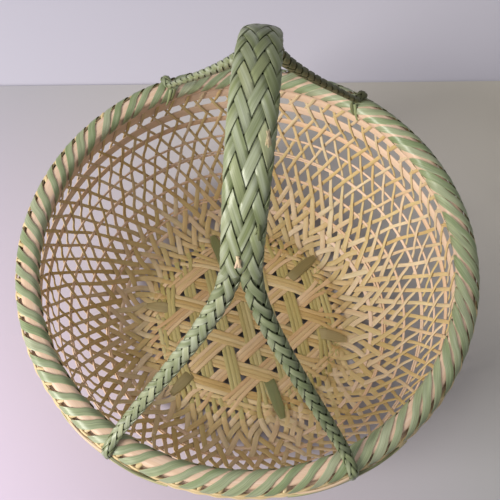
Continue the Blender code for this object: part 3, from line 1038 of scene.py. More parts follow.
@dataclass
class Rim:
    """The rim: two hoops that clamp the stakes, a cover over them and the green lashing round all.

    Attributes:
        radius: Radius of the rim's middle.
        low: Height at which the lashing goes through the wall.
        high: Height of the rim's top.
        width: Width of the lashing's turns.
        inner: The inner hoop and the thin one under it.
        outer: The outer hoop and the thin one under it.
        cover: The cover strip.
        strands: The thin strands along the outer edge.
        turns: Turns of the lashing.
        lashing_width: Width of the lashing's strip.
        lashing_thickness: Its thickness.
        lashing_widths: Range of a turn's width, as a share of that.
        slant: How far a turn moves round from the outside to the inside, in degrees.
        more_slant: How much farther it moves on the right side of the basket.
        more_spans: Angles round the section, in radians, between which that comes and goes.
        scatter: How far a turn may lie from its place, as a share of their spacing.
        slants: Range of a turn's slant, as a share of that.
        roundness: Fullness of the rim's section: 2 is an ellipse and more is squarer.
        crossing_angle: Angle round the section at which the thin strands cross the turns, in degrees.
        tip_angle: Angle at which the stakes' tips show.
        tip_out: Range of how far outside of the rim's middle a tip starts.
        tip_in: How far in it runs from there.
        tip_height: Height at which it starts.
        tip_heights: Range by which that varies.
        tip_slants: Range of how far it slants round, in degrees.
        tip_rise: How much higher it ends.
        tip_widths: Range of its width.
        tip_shares: Its widths from end to end, as shares of that.
        tip_thickness: Its thickness.
        tip_odds: Share of the stakes whose tips show.
    """

    radius: float = 123 * MM
    low: float = 116.6 * MM
    high: float = 126.5 * MM
    width: float = 13.2 * MM
    inner: tuple[Ring, ...] = (
        Ring(-4.2 * MM, 119.9 * MM, (-1, 0), 5.4 * MM, 3 * MM, 0.4, 1.0),
        Ring(-2.6 * MM, 114.95 * MM, (-1, 0.1), 2.8 * MM, 1.5 * MM, 0.7, 5.1),
    )
    outer: tuple[Ring, ...] = (
        Ring(4.3 * MM, 118.9 * MM, (1, 0), 4.4 * MM, 2.6 * MM, 0.6, 2.5),
        Ring(2.6 * MM, 114.95 * MM, (1, 0.1), 2.8 * MM, 1.5 * MM, 0.3, 0.7),
    )
    cover: tuple[Ring, ...] = (Ring(-1.2 * MM, 124 * MM, (-0.05, 1), 8.8 * MM, 3.4 * MM, 0.5, 4.0),)
    strands: tuple[Ring, ...] = (
        Ring(5.6 * MM, 121.9 * MM, (0.8, 0.6), 1.5 * MM, 0.9 * MM, 0.3, 0.4, 0.7 * MM),
        Ring(6.6 * MM, 118.9 * MM, (1, 0.2), 1.3 * MM, 0.7 * MM, 0.8, 3.4, 0.5 * MM),
    )
    turns: int = 75
    lashing_width: float = 4.2 * MM
    lashing_thickness: float = 0.5 * MM
    lashing_widths: Pair = (0.86, 1.12)
    slant: float = 9.6
    more_slant: float = 5.0
    more_spans: tuple[Pair, Pair] = ((0.1, 3.5), (3.6, 4.7))
    scatter: float = 0.1
    slants: Pair = (0.93, 1.07)
    roundness: float = 2.4
    crossing_angle: float = 25
    tip_angle: float = 22
    tip_out: Pair = (5.3 * MM, 5.9 * MM)
    tip_in: float = 2.9 * MM
    tip_height: float = 123.6 * MM
    tip_heights: Pair = (-0.3 * MM, 0.2 * MM)
    tip_slants: Pair = (0.7, 1.5)
    tip_rise: float = 1.0 * MM
    tip_widths: Pair = (1.7 * MM, 2.6 * MM)
    tip_shares: tuple[float, ...] = (0.55, 0.95, 1, 1, 0.9, 0.7)
    tip_thickness: float = 0.9 * MM
    tip_odds: float = 0.86

    def shift(self, angle: Any, start: float = 180) -> Any:
        """How far round a turn has moved, in degrees.

        Args:
            angle: Angles round the rim's section, from outside by way of the top.
            start: Azimuth at which the turn starts, in degrees. On the right the turns lean more.

        Returns:
            The shift, which grows fastest over the top.
        """
        share = np.clip((angle + 0.5) / (math.pi + 1.0), 0, 1)
        even = self.slant * (0.35 * share + 0.65 * share * share * (3 - 2 * share))
        more = smooth(self.more_spans[0], angle) * (1 - smooth(self.more_spans[1], angle))
        return even + self.more_slant * (0.5 + 0.5 * math.cos(math.radians(start))) * more

    def lay(self, ring: Ring, section: Section) -> Strip:
        """Lays a ring, which stands off in waves between the lashing's turns where it has a wave.

        Args:
            ring: The ring.
            section: Its cross-section.

        Returns:
            The strip.
        """
        azimuth = ring.start + np.radians(np.arange(0, 361.5, 0.6 if ring.wave else 2))
        crossing = math.radians(self.shift(math.radians(self.crossing_angle)))
        off = ring.wave * (0.5 - 0.5 * np.cos((azimuth - crossing) * self.turns))
        outward, upward = ring.facing
        places = polar(azimuth, self.radius + ring.out + off * outward, ring.height + off * upward)
        facing = polar(azimuth, outward, upward)
        return Strip.laid(section, places, facing, ring.width, ring.thickness, ring.tone)

    def lashing(self) -> list[Strip]:
        """The turns of the lashing.

        Returns:
            One strip for each turn. It meets the next but one under the rim.
        """
        random = np.random.default_rng(5)
        middle = (self.low + self.high) / 2
        half_width = self.width / 2 - self.lashing_thickness / 2
        half_height = (self.high - self.low) / 2 - self.lashing_thickness / 2
        angle = np.radians(np.linspace(-95, 275, 34))
        out, up = rounded(angle, 2 / self.roundness)
        normal_out, normal_up = rounded(angle, 2 - 2 / self.roundness)
        strips = []
        for turn in range(self.turns):
            start = 360 / self.turns * (turn + random.uniform(-self.scatter, self.scatter))
            azimuth = np.radians(start + self.shift(angle, start) * random.uniform(*self.slants))
            places = polar(azimuth, self.radius + half_width * out, middle + half_height * up)
            normals = polar(azimuth, normal_out / half_width, normal_up / half_height)
            width = self.lashing_width * random.uniform(*self.lashing_widths)
            width = width * (1 + 0.06 * np.sin(2 * angle + turn))
            tone = float(random.uniform(0, 1))
            strips.append(Strip.laid(Section.LEAF, places, normals, width, self.lashing_thickness, tone))
        return strips

    def tips(self) -> list[Strip]:
        """The stakes' cut ends, which show at the outer edge between the lashing's turns.

        Returns:
            One short strip for each of most stakes.
        """
        random = np.random.default_rng(9)
        outer = self.shift(math.radians(self.tip_angle))
        share = np.linspace(0, 1, len(self.tip_shares))
        strips = []
        for turn in range(self.turns):
            start = 360 / self.turns * (turn + 0.5 + random.uniform(-0.12, 0.12)) + outer
            radius = self.radius + random.uniform(*self.tip_out) - self.tip_in * share
            azimuth = np.radians(start + share * random.uniform(*self.tip_slants))
            height = self.tip_height + self.tip_rise * share + random.uniform(*self.tip_heights)
            width = random.uniform(*self.tip_widths) * np.array(self.tip_shares)
            if random.uniform() < self.tip_odds:
                strips.append(Strip.laid(
                    Section.LEAF, polar(azimuth, radius, height), polar(azimuth, 0.45, 0.9), width,
                    self.tip_thickness, float(random.uniform(0, 1)),
                ))
        return strips

    def build(self) -> None:
        """Makes the rim's pieces."""
        for name, rings, section, finish, nodes in (
            ("rim_inner", self.inner, Section.HOOP, "rim_wood", ["rim_inner_hoop"]),
            ("rim_outer", self.outer, Section.HOOP, "rim_wood", ["rim_outer_hoop"]),
            ("rim_crown", self.cover, Section.HOOP, "rim_wood", ["rim_cover"]),
            ("rim_edge_strands", self.strands, Section.SPLINT, "cane", []),
        ):
            strips = [self.lay(ring, section) for ring in rings]
            make_piece(name, strips, finish, "pink_splint", *nodes)
        make_piece("stake_tips", self.tips(), "cane", "pink_splint")
        make_piece("rim_wraps", self.lashing(), "wrap_skin", "green_skin", "rim_lashing")


@dataclass
class Oval:
    """The section of a flattened tube, unrolled from its left edge over its outer side.

    Attributes:
        half_width: Half of its width.
        half_thickness: Half of its thickness.
        fullness: 2 is an ellipse and more is squarer.
        near: Share of the way round over which its slope is taken.
        table: Rows of shares of the way round and of places across and up.
        girth: The whole way round.
    """

    half_width: float
    half_thickness: float
    fullness: float = 2.2
    near: float = 0.006
    table: Array = field(init=False)
    girth: float = field(init=False)

    def __post_init__(self) -> None:
        """Tabulates the section by its length."""
        cos, sin = rounded(np.linspace(0, 2 * math.pi, 1441), 2 / self.fullness)
        across, upward = -self.half_width * cos, self.half_thickness * sin
        length = totals(np.hypot(np.diff(across), np.diff(upward)))
        self.girth = float(length[-1])
        self.table = np.array([length / self.girth, across, upward])

    def outline(self, share: Array) -> Array:
        """Rows of places across and up, at shares of the way round."""
        return np.array([np.interp(np.mod(share, 1), self.table[0], row) for row in self.table[1:]])

    def place(self, turn: Array) -> tuple[Array, Array, Array, Array]:
        """Points and normals on the section.

        Args:
            turn: Shares of the way round, where whole turns don't count.

        Returns:
            Places across and up, and the normals' parts across and up.
        """
        across, upward = self.outline(turn)
        step_across, step_up = self.outline(turn + self.near) - self.outline(turn - self.near)
        size = np.hypot(step_across, step_up)
        return across, upward, -step_up / size, step_across / size

    def surface(self, across: Array) -> Array:
        """Height of the section's outer side at places across it."""
        filled = np.clip(np.abs(across) / self.half_width, 0, 0.97) ** self.fullness
        return self.half_thickness * (1 - filled) ** (1 / self.fullness)


class Going(Enum):
    """Which way round the braid a strand goes on its way from the back of the handle to the front."""

    LEFT = -1
    RIGHT = 1


@dataclass
class Handle:
    """The handle: sixteen strands braided round a flat core over the arch, half of which go down each leg.

    Eight strands go round to the right and eight to the left, each over two and under two. A strand goes once
    round the arch in eight pitches and once round a leg in four.

    Attributes:
        rim: The rim that the legs hook over.
        top: Height of the arch's outer side.
        outer_radius: Radius of the arch's outer side.
        middle_radius: Radius of the arch's middle line.
        half_angle: Angle from the arch's top to where it parts, in degrees.
        strands_each_way: How many strands go round each way.
        pitches: Pitches from the top to where it parts.
        leg_pitch: Pitch in the legs.
        pitch_fade: Length over which the arch's pitch turns to the legs'.
        strand_width: Width of a strand in the arch.
        leg_strand_width: Its width where a leg starts.
        strand_thickness: Its thickness.
        leg_strand_share: Size of a leg's strands, as a share of the leg's.
        lift: How far a strand lies off the braid's middle surface where it crosses another.
        sharpness: How quickly a strand dives.
        blend: Half of the length over which the arch's section turns to the legs'.
        arch_oval: The arch's middle surface.
        leg_oval: A leg's, where it starts.
        leg_centre: Distance of a leg's middle line from the arch's, where it starts.
        leg_end_share: A leg's size at its foot, as a share of that at its start.
        leg_bend_share: How far a leg's ends keep their direction, as a share of its length.
        leg_samples: Points on a leg's free line.
        even_window: Points over which a leg's line is evened out.
        crown_swell: How much wider the arch is at its top.
        foot_angle: Angle of a leg's foot from the arch's plane, in degrees.
        foot_lift: Height of a leg's middle line over the rim.
        foot_arch: How much higher it is where it comes to the rim.
        hook_gaps: How far outside of the rim it turns down and ends.
        hook_drops: How far under the rim's top it turns down, and how far over the lashing's foot it ends.
        spare: Length by which tables run on past what they are for.
        step: Distance between a strand's stations.
        fine_step: Distance between points of a table.
        core_inset: How far a core lies inside the middle surface.
        core_step: Distance between the arch's core's stations.
        leg_core: Points that a leg's core stops short of its line's end, and every how many it has one.
        dried: Name of the leg that has dried to a browner green.
        shaded_leg: Name of the leg whose skin is painted darker, as shade, since it faces away from the
            light.
        joints: Places of torn ends: how far from the top, how far to the right, how many and their tone.
        torn_scatter: How far a torn end may lie from its place, along the arch and across.
        torn_lengths: Range of its length.
        torn_skew: How far it may slant across the arch from end to end.
        torn_lift: How high it lies over the middle surface.
        torn_lifts: Range by which that varies.
        torn_curl: How much higher its middle lies.
        torn_widths: Range of its width.
        torn_thickness: Its thickness.
        torn_tones: How far its tone may be from its place's.
    """

    rim: Rim
    top: float = 281 * MM
    outer_radius: float = 63 * MM
    middle_radius: float = 59.5 * MM
    half_angle: float = 72
    strands_each_way: int = 8
    pitches: int = 6
    leg_pitch: float = 8.6 * MM
    pitch_fade: float = 35 * MM
    strand_width: float = 3.65 * MM
    leg_strand_width: float = 3.6 * MM
    strand_thickness: float = 0.75 * MM
    leg_strand_share: float = 0.97
    lift: float = 0.5 * MM
    sharpness: float = 3.2
    blend: float = 6 * MM
    arch_oval: Oval = field(default_factory=lambda: Oval(7.7 * MM, 2.6 * MM))
    leg_oval: Oval = field(default_factory=lambda: Oval(4.0 * MM, 2.1 * MM))
    leg_centre: float = 4.3 * MM
    leg_end_share: float = 0.58
    leg_bend_share: float = 0.2
    leg_samples: int = 60
    even_window: int = 13
    crown_swell: float = 0.14
    foot_angle: float = 28.5
    foot_lift: float = 1.8 * MM
    foot_arch: float = 1.4 * MM
    hook_gaps: Pair = (0.6 * MM, 1.0 * MM)
    hook_drops: Pair = (0.8 * MM, 1 * MM)
    spare: float = 40 * MM
    step: float = 1.0 * MM
    fine_step: float = 0.5 * MM
    core_inset: float = 1.05 * MM
    core_step: float = 2 * MM
    leg_core: tuple[int, int] = (16, 4)
    dried: str = "back_right"
    shaded_leg: str = "front_right"
    joints: tuple[tuple[float, float, int, float], ...] = (
        (66 * MM, -0.8 * MM, 4, 0.95), (20 * MM, 7.2 * MM, 4, 0.85), (53 * MM, 6.0 * MM, 3, 0.25),
    )
    torn_scatter: Pair = (1.2 * MM, 0.9 * MM)
    torn_lengths: Pair = (3.5 * MM, 6.5 * MM)
    torn_skew: float = 2.2 * MM
    torn_lift: float = 1.1 * MM
    torn_lifts: Pair = (-0.1 * MM, 0.3 * MM)
    torn_curl: float = 0.5 * MM
    torn_widths: Pair = (1.0 * MM, 1.7 * MM)
    torn_thickness: float = 0.5 * MM
    torn_tones: float = 0.12

    def __post_init__(self) -> None:
        """Tabulates the middle lines of the arch and of the two legs on each side."""
        self.half_length = self.middle_radius * math.radians(self.half_angle)
        self.leg_length = float(self.leg_frame(1, 1)[0][-1])
        self.reach = self.half_length + self.leg_length
        self.rails = {side: self.rail(side) for side in (-1, 0, 1)}

    def arch_frame(self, place: Array) -> tuple[Array, Array, Array]:
        """The arch's middle line.

        Args:
            place: Distances from the arch's top, to the front.

        Returns:
            Points, directions across and normals.
        """
        angle = -place / self.middle_radius
        normals = np.stack([np.zeros(len(place)), np.sin(angle), np.cos(angle)], axis=-1)
        centre = np.array([0, 0, self.top - self.outer_radius])
        across = np.tile([1.0, 0.0, 0.0], (len(place), 1))
        return centre + normals * self.middle_radius, across, normals

    def leg_frame(self, side: int, end: int) -> tuple[Array, Array, Array, Array]:
        """The middle line of a leg, from the arch to its foot on the outside of the rim.

        Args:
            side: -1 for the left legs and 1 for the right ones.
            end: 1 for the front legs and -1 for the back ones.

        Returns:
            Distances along it, points, directions across and normals.
        """
        rim, up = self.rim, np.array([0, 0, 1.0])
        angle, foot = math.radians(self.half_angle), math.radians(self.foot_angle)
        start = np.array([side * self.leg_centre, -end * self.middle_radius * math.sin(angle),
                          self.top - self.outer_radius + self.middle_radius * math.cos(angle)])
        heading = np.array([0, -end * math.cos(angle), -math.sin(angle)])
        radial = np.array([side * math.sin(foot), -end * math.cos(foot), 0])
        over, outside = rim.high + self.foot_lift, rim.radius + rim.width / 2
        inner = radial * (rim.radius - rim.width / 4) + up * (over + self.foot_arch)
        leave = start + heading * np.linalg.norm(inner - start) * self.leg_bend_share
        arrive = inner + (start - inner) * self.leg_bend_share
        share = np.linspace(0, 1, self.leg_samples)[:, None]
        line = np.concatenate([
            start * (1 - share) ** 3 + leave * 3 * share * (1 - share) ** 2
            + arrive * 3 * share ** 2 * (1 - share) + inner * share ** 3,
            [radial * (rim.radius + rim.width / 8) + up * over,
             radial * (outside + self.hook_gaps[0]) + up * (rim.high - self.hook_drops[0]),
             radial * (outside + self.hook_gaps[1]) + up * (rim.low + self.hook_drops[1])],
        ])
        length = distances(line)
        run = np.arange(0, length[-1], self.fine_step)
        points = np.stack([np.interp(run, length, column) for column in line.T], axis=-1)
        half_window = self.even_window // 2
        padded = np.pad(points, ((half_window,) * 2, (0, 0)), mode="reflect", reflect_type="odd")
        window = np.ones(self.even_window) / self.even_window
        points = np.stack([np.convolve(column, window, mode="valid") for column in padded.T], axis=-1)
        along = unit(np.gradient(points, axis=0))
        foot_across = np.array([-radial[1], radial[0], 0]) * end
        across = mix(np.array([1.0, 0, 0]), foot_across, smooth((0, length[-1]), run)[:, None])
        across = square(across, along)
        return run, points, across, unit(np.cross(along, across)) * end

    def rail(self, side: int) -> Array:
        """Tabulates a middle line from the back to the front.

        Args:
            side: -1 or 1 for the legs on that side, and 0 for the arch.

        Returns:
            Rows of places, points, directions across and normals.
        """
        if side == 0:
            place = np.arange(-self.half_length - self.spare, self.half_length + self.spare, self.fine_step)
            return np.column_stack([place, *self.arch_frame(place)])
        middle = np.arange(-self.half_length + self.fine_step, self.half_length, self.fine_step)
        points, across, normals = self.arch_frame(middle)
        rows = [np.column_stack([middle, points + across * side * self.leg_centre, across, normals])]
        for end in (1, -1):
            run, *line = self.leg_frame(side, end)
            rows.append(np.column_stack([end * (self.half_length + run), *line]))
        table = np.concatenate(rows)
        return table[np.argsort(table[:, 0])]

    def lay(self, side: int, place: Array, across: Array, upward: Array) -> Array:
        """Turns places by a middle line to points.

        Args:
            side: -1 or 1 for the legs on that side, and 0 for the arch.
            place: Places along the line.
            across: Places across it.
            upward: Places over it.

        Returns:
            The points.
        """
        table = self.rails[side]
        columns = [np.interp(place, table[:, 0], table[:, k]) for k in range(1, 10)]
        centre, aside, normal = (np.stack(columns[k:k + 3], axis=-1) for k in (0, 3, 6))
        return centre + aside * across[:, None] + normal * upward[:, None]

    def taper(self, place: Array) -> Array:
        """A leg's size at places along it, as a share of its size at the top."""
        run = np.clip((np.abs(place) - self.half_length) / self.leg_length, 0, 1)
        return 1 - (1 - self.leg_end_share) * run

    def swell(self, place: Array) -> Array:
        """The arch's width at places along it, as a share of its width at the parting."""
        share = np.clip(np.abs(place) / self.half_length, 0, 1)
        return 1 + self.crown_swell * np.cos(share * math.pi / 2) ** 2

    def parted(self, place: Array) -> Array:
        """How far the arch has turned to two legs, from 0 to 1."""
        return smooth((-self.blend, self.blend), np.abs(place) - self.half_length)

    def phase(self, place: Array) -> Array:
        """Counts pitches along the braid. The arch parts half a pitch past a crossing.

        Args:
            place: Places along the handle.

        Returns:
            Pitches from the arch's top to each place, and half a pitch more.
        """
        fine = np.arange(0, self.reach + self.spare, self.fine_step)
        fade = smooth((self.half_length, self.half_length + self.pitch_fade), fine)
        pitch = mix(self.half_length / self.pitches, self.leg_pitch, fade)
        counted = totals(self.fine_step / pitch[:-1])
        return 0.5 + np.sign(place) * np.interp(np.abs(place), fine, counted)

    def strand(self, going: Going, number: int, tone: float) -> Strip:
        """One strand from foot to foot.

        Args:
            going: Which way round it goes.
            number: Its number, from 0.
            tone: Its tone.

        Returns:
            The strand.
        """
        leg = np.linspace(self.half_length, self.reach, int(self.leg_length / self.step))
        arch = np.linspace(-self.half_length, self.half_length, int(2 * self.half_length / self.step))
        place = np.concatenate([-leg[:0:-1], arch, leg[1:]])
        phase = self.phase(place)
        parted, taper, swell = self.parted(place), self.taper(place), self.swell(place)
        spacing = mix(self.arch_oval.girth / 8 * swell, self.leg_oval.girth / 4 * taper, parted)
        lean = np.arctan2(spacing, np.gradient(place, phase))
        size = mix(swell, self.leg_strand_share * taper, parted)
        width = mix(self.strand_width, self.leg_strand_width, parted) * size
        thickness = self.strand_thickness * np.minimum(size, 1)
        turns = going.value * (phase - number)
        section = Section.STRAND.outline()
        rows = []
        for x, z in section:
            moved = turns + width * x * np.cos(lean) / spacing
            shifted = place - going.value * width * x * np.sin(lean)
            crossing = moved + turns + going.value * (self.phase(shifted) - phase)
            level = going.value * np.tanh(self.sharpness * np.sin(math.pi / 2 * (crossing - 1.5)))
            off = self.lift * level * np.minimum(size, 1) + thickness * z
            rows.append(self.strand_row(going, number, moved, shifted, off))
        return Strip(np.array(rows), distances(rows[2]), [x + 0.5 for x, _ in section], tone)

    def side_of(self, going: Going, number: int, end: int) -> int:
        """The leg that a strand goes down.

        Args:
            going: Which way round it goes.
            number: Its number.
            end: 1 for the front and -1 for the back.

        Returns:
            -1 for the left leg and 1 for the right one.
        """
        parting = float(self.phase(np.array([end * self.half_length]))[0])
        return 1 if 2 <= (going.value * (parting - number)) % 8 < 6 else -1

    def strand_row(self, going: Going, number: int, moved: Array, place: Array, off: Array) -> Array:
        """Points of one line along a strand.

        Args:
            going: Which way round the strand goes.
            number: Its number.
            moved: How far round the braid the line is, in strand spacings.
            place: Places along the handle.
            off: How far the line lies off the braid's middle surface.

        Returns:
            The points.
        """
        x, z, normal_x, normal_z = self.arch_oval.place(moved / 8)
        whole = self.lay(0, place, (x + normal_x * off) * self.swell(place), z + normal_z * off)
        parted = self.parted(place)[:, None]
        taper = self.taper(place)
        points = whole
        for end in (1, -1):
            side = self.side_of(going, number, end)
            x, z, normal_x, normal_z = self.leg_oval.place((moved - 1 - side) / 4)
            split = self.lay(side, place, x * taper + normal_x * off, z * taper + normal_z * off)
            points = np.where((place * end > 0)[:, None], mix(whole, split, parted), points)
        return points

    def build(self) -> None:
        """Makes the arch, its four legs, the torn ends on it and the cores, which fill the braids and are
        near black, as painted shade in the slits between strands.
        """
        random = np.random.default_rng(3)
        arch: list[Strip] = []
        legs: dict[str, list[Strip]] = {}
        stations = int(self.leg_length / self.step) - 1
        for going in Going:
            for number in range(self.strands_each_way):
                whole = self.strand(going, number, float(random.uniform(0, 1)))
                arch.append(whole.cut(stations, -stations))
                front, back = whole.cut(-stations - 1, None), whole.cut(None, stations + 1)
                for end, name, part in ((1, "front", front), (-1, "back", back)):
                    side = "right" if self.side_of(going, number, end) > 0 else "left"
                    legs.setdefault(f"{name}_{side}", []).append(part)
        make_piece("arch_braid", arch, "skin", "green_skin", "handle_arch")
        for name, strips in sorted(legs.items()):
            # The front right leg gets the darker skin, which is painted shade.
            finish = {self.dried: "old_skin", self.shaded_leg: "painted_shade_skin"}.get(name, "skin")
            make_piece(f"leg_braid_{name}", strips, finish, "green_skin", f"handle_leg_{name}")
        make_piece("strand_ends", self.strand_ends(), "tie_skin", "green_skin")
        # The near-black cores: painted shade between the strands.
        make_piece("braid_cores_painted_shade", self.cores(), "core", "green_skin")

    def strand_ends(self) -> list[Strip]:
        """Short torn ends that stick to the arch where strands were joined in.

        Returns:
            Three or four ends at each of three places on the arch's front.
        """
        random = np.random.default_rng(17)
        share = np.linspace(-0.5, 0.5, 9)
        strips = []
        for joint, aside, count, tone in self.joints:
            for _ in range(count):
                place = joint + self.torn_scatter[0] * random.uniform(-1, 1)
                place = place + share * random.uniform(*self.torn_lengths)
                across = aside + self.torn_scatter[1] * random.uniform(-1, 1)
                across = across + share * self.torn_skew * random.uniform(-1, 1)
                over = self.torn_lift + self.torn_curl * np.cos(share * 5) + random.uniform(*self.torn_lifts)
                points = self.lay(0, place, across, self.arch_oval.surface(across) + over)
                _, sideways, normals = self.arch_frame(place)
                leaning = sideways * (across / self.arch_oval.half_width)[:, None] + normals
                width = random.uniform(*self.torn_widths) * (1 - 0.5 * np.abs(share) ** 1.5)
                shade = float(np.clip(tone + self.torn_tones * random.uniform(-1, 1), 0, 1))
                strips.append(Strip.laid(Section.LEAF, points, leaning, width, self.torn_thickness, shade))
        return strips

    def cores(self) -> list[Strip]:
        """The flat bars inside the braids, coloured near black as painted shade where they show between
        strands.

        Returns:
            The arch's bar and then the legs'.
        """
        place = np.arange(-self.half_length, self.half_length, self.core_step)
        points, _, normals = self.arch_frame(place)
        width = 2 * (self.arch_oval.half_width - self.core_inset) * self.swell(place)
        thickness = 2 * (self.arch_oval.half_thickness - self.core_inset)
        bars = [Strip.laid(Section.LEAF, points, normals, width, thickness, 0.5)]
        short, every = self.leg_core
        for end in (1, -1):
            for side in (-1, 1):
                run, points, _, normals = (column[:-short:every] for column in self.leg_frame(side, end))
                taper = self.taper(run + self.half_length)
                width = 2 * (self.leg_oval.half_width * taper - self.core_inset)
                thickness = 2 * (self.leg_oval.half_thickness * taper - self.core_inset * 0.9)
                bars.append(Strip.laid(Section.LEAF, points, normals, width, thickness, 0.5))
        return bars


@dataclass
class RimTies:
    """The ends of the legs' strands, laid along the rim's outer side and tucked in behind it.

    Attributes:
        foot_angle: Angle of a leg's foot from the arch's plane, in degrees.
        half_turn: How far a tie reaches to each side of the foot, in degrees.
        flat_radius: Radius at which its two flat strands lie.
        flat_heights: Their heights.
        flat_tones: Their tones.
        flat_size: Their width and thickness.
        bow_turn: How far a thin bowed strand goes round, in degrees.
        bow_radius: Radius at which it starts.
        bow_height: Height at which it starts.
        bow_tones: Tones of the bows to the left and the right.
        bow_size: Its width and thickness.
        tuck_turn: How far a tucked end moves round for each part of its way, in degrees.
        tuck_radius: Radius at which it starts.
        tuck_height: Height at which it starts.
        tuck_size: Its width and thickness.
        tuck_starts: How far from the foot each tucked end starts, in such parts.
        tuck_ways: How far round each goes, in such parts.
        tuck_drops: How far each hangs down.
        flat_wave: How far a flat strand waves up and down.
        flat_dip: How much farther in its ends lie.
        bow_out: How far a bow stands off in its middle.
        bow_in: How much farther in its end lies.
        bow_drop: How much lower its end lies.
        tuck_in: How far in a tucked end goes.
        narrowing_shares: How much narrower a flat strand, a bow and a tucked end get.
    """

    foot_angle: float = 28.5
    half_turn: float = 15
    flat_radius: float = 131.0 * MM
    flat_heights: Pair = (115.2 * MM, 118.3 * MM)
    flat_tones: Pair = (0.45, 0.7)
    flat_size: Pair = (2.8 * MM, 1.0 * MM)
    bow_turn: float = 14.5
    bow_radius: float = 130.4 * MM
    bow_height: float = 121.4 * MM
    bow_tones: Pair = (1.0, 0.12)
    bow_size: Pair = (1.7 * MM, 0.8 * MM)
    tuck_turn: float = 1.2
    tuck_radius: float = 118.4 * MM
    tuck_height: float = 127.4 * MM
    tuck_size: Pair = (2.0 * MM, 0.7 * MM)
    tuck_starts: Pair = (-1, 0)
    tuck_ways: Pair = (1.6, 1.9)
    tuck_drops: Pair = (8 * MM, 11 * MM)
    flat_wave: float = 0.5 * MM
    flat_dip: float = 0.9 * MM
    bow_out: float = 0.6 * MM
    bow_in: float = 1.2 * MM
    bow_drop: float = 2.8 * MM
    tuck_in: float = 2.2 * MM
    narrowing_shares: tuple[float, float, float] = (0.55, 0.4, 0.3)

    def flat(self, foot: float, strand: int) -> Strip:
        """A strand flat on the rim's outer side, to both sides of the foot.

        Args:
            foot: The foot's azimuth.
            strand: 0 for the lower and 1 for the upper strand.

        Returns:
            The strand.
        """
        share = np.linspace(-1, 1, 50)
        azimuth = foot + math.radians(self.half_turn) * share
        height = self.flat_heights[strand] + self.flat_wave * np.sin(share * 9 + strand * 2)
        places = polar(azimuth, self.flat_radius - self.flat_dip * share ** 4, height)
        width = self.flat_size[0] * (1 - self.narrowing_shares[0] * np.abs(share) ** 3)
        tone = self.flat_tones[strand]
        return Strip.laid(Section.LEAF, places, polar(azimuth, 1, 0), width, self.flat_size[1], tone)

    def bow(self, foot: float, side: int) -> Strip:
        """A thin strand that stands off the rim's outer edge.

        Args:
            foot: The foot's azimuth.
            side: Which way round it goes.

        Returns:
            The strand.
        """
        share = np.linspace(0, 1, 36)
        azimuth = foot + side * math.radians(self.bow_turn) * share
        radius = self.bow_radius + self.bow_out * np.sin(math.pi * share) - self.bow_in * share ** 3
        places = polar(azimuth, radius, self.bow_height - self.bow_drop * share ** 2)
        width = self.bow_size[0] * (1 - self.narrowing_shares[1] * share)
        tone = self.bow_tones[side > 0]
        return Strip.laid(Section.LEAF, places, polar(azimuth, 0.6, 0.8), width, self.bow_size[1], tone)

    def tucked(self, foot: float, side: int, index: int) -> Strip:
        """The end of a strand that hangs inside, below a back leg's foot.

        Args:
            foot: The foot's azimuth.
            side: -1 for the left foot and 1 for the right one.
            index: Its number.

        Returns:
            The strand's end.
        """
        share = np.linspace(0, 1, 14)
        parts = self.tuck_starts[index] + self.tuck_ways[index] * share
        azimuth = foot - side * math.radians(self.tuck_turn) * parts
        radius = self.tuck_radius - self.tuck_in * np.sin(share * 2.2)
        places = polar(azimuth, radius, self.tuck_height - self.tuck_drops[index] * share ** 1.3)
        normals = polar(azimuth, mix(-0.2, -1.0, share), mix(1.0, 0.1, share))
        width = self.tuck_size[0] * (1 - self.narrowing_shares[2] * share)
        return Strip.laid(Section.LEAF, places, normals, width, self.tuck_size[1], 0.15 + 0.25 * index)

    def build(self) -> None:
        """Makes the four ties."""
        angle = math.radians(self.foot_angle)
        for end, end_name in ((-1, "front"), (1, "back")):
            for side, side_name in ((-1, "left"), (1, "right")):
                foot = math.atan2(end * math.cos(angle), side * math.sin(angle))
                strips = [self.flat(foot, strand) for strand in (0, 1)]
                if end < 0:
                    strips += [self.bow(foot, way) for way in (1, -1)]
                else:
                    strips += [self.tucked(foot, side, index) for index in (0, 1)]
                name = f"{end_name}_{side_name}"
                make_piece(f"tie_{name}", strips, "tie_skin", "green_skin", f"rim_tie_{name}")


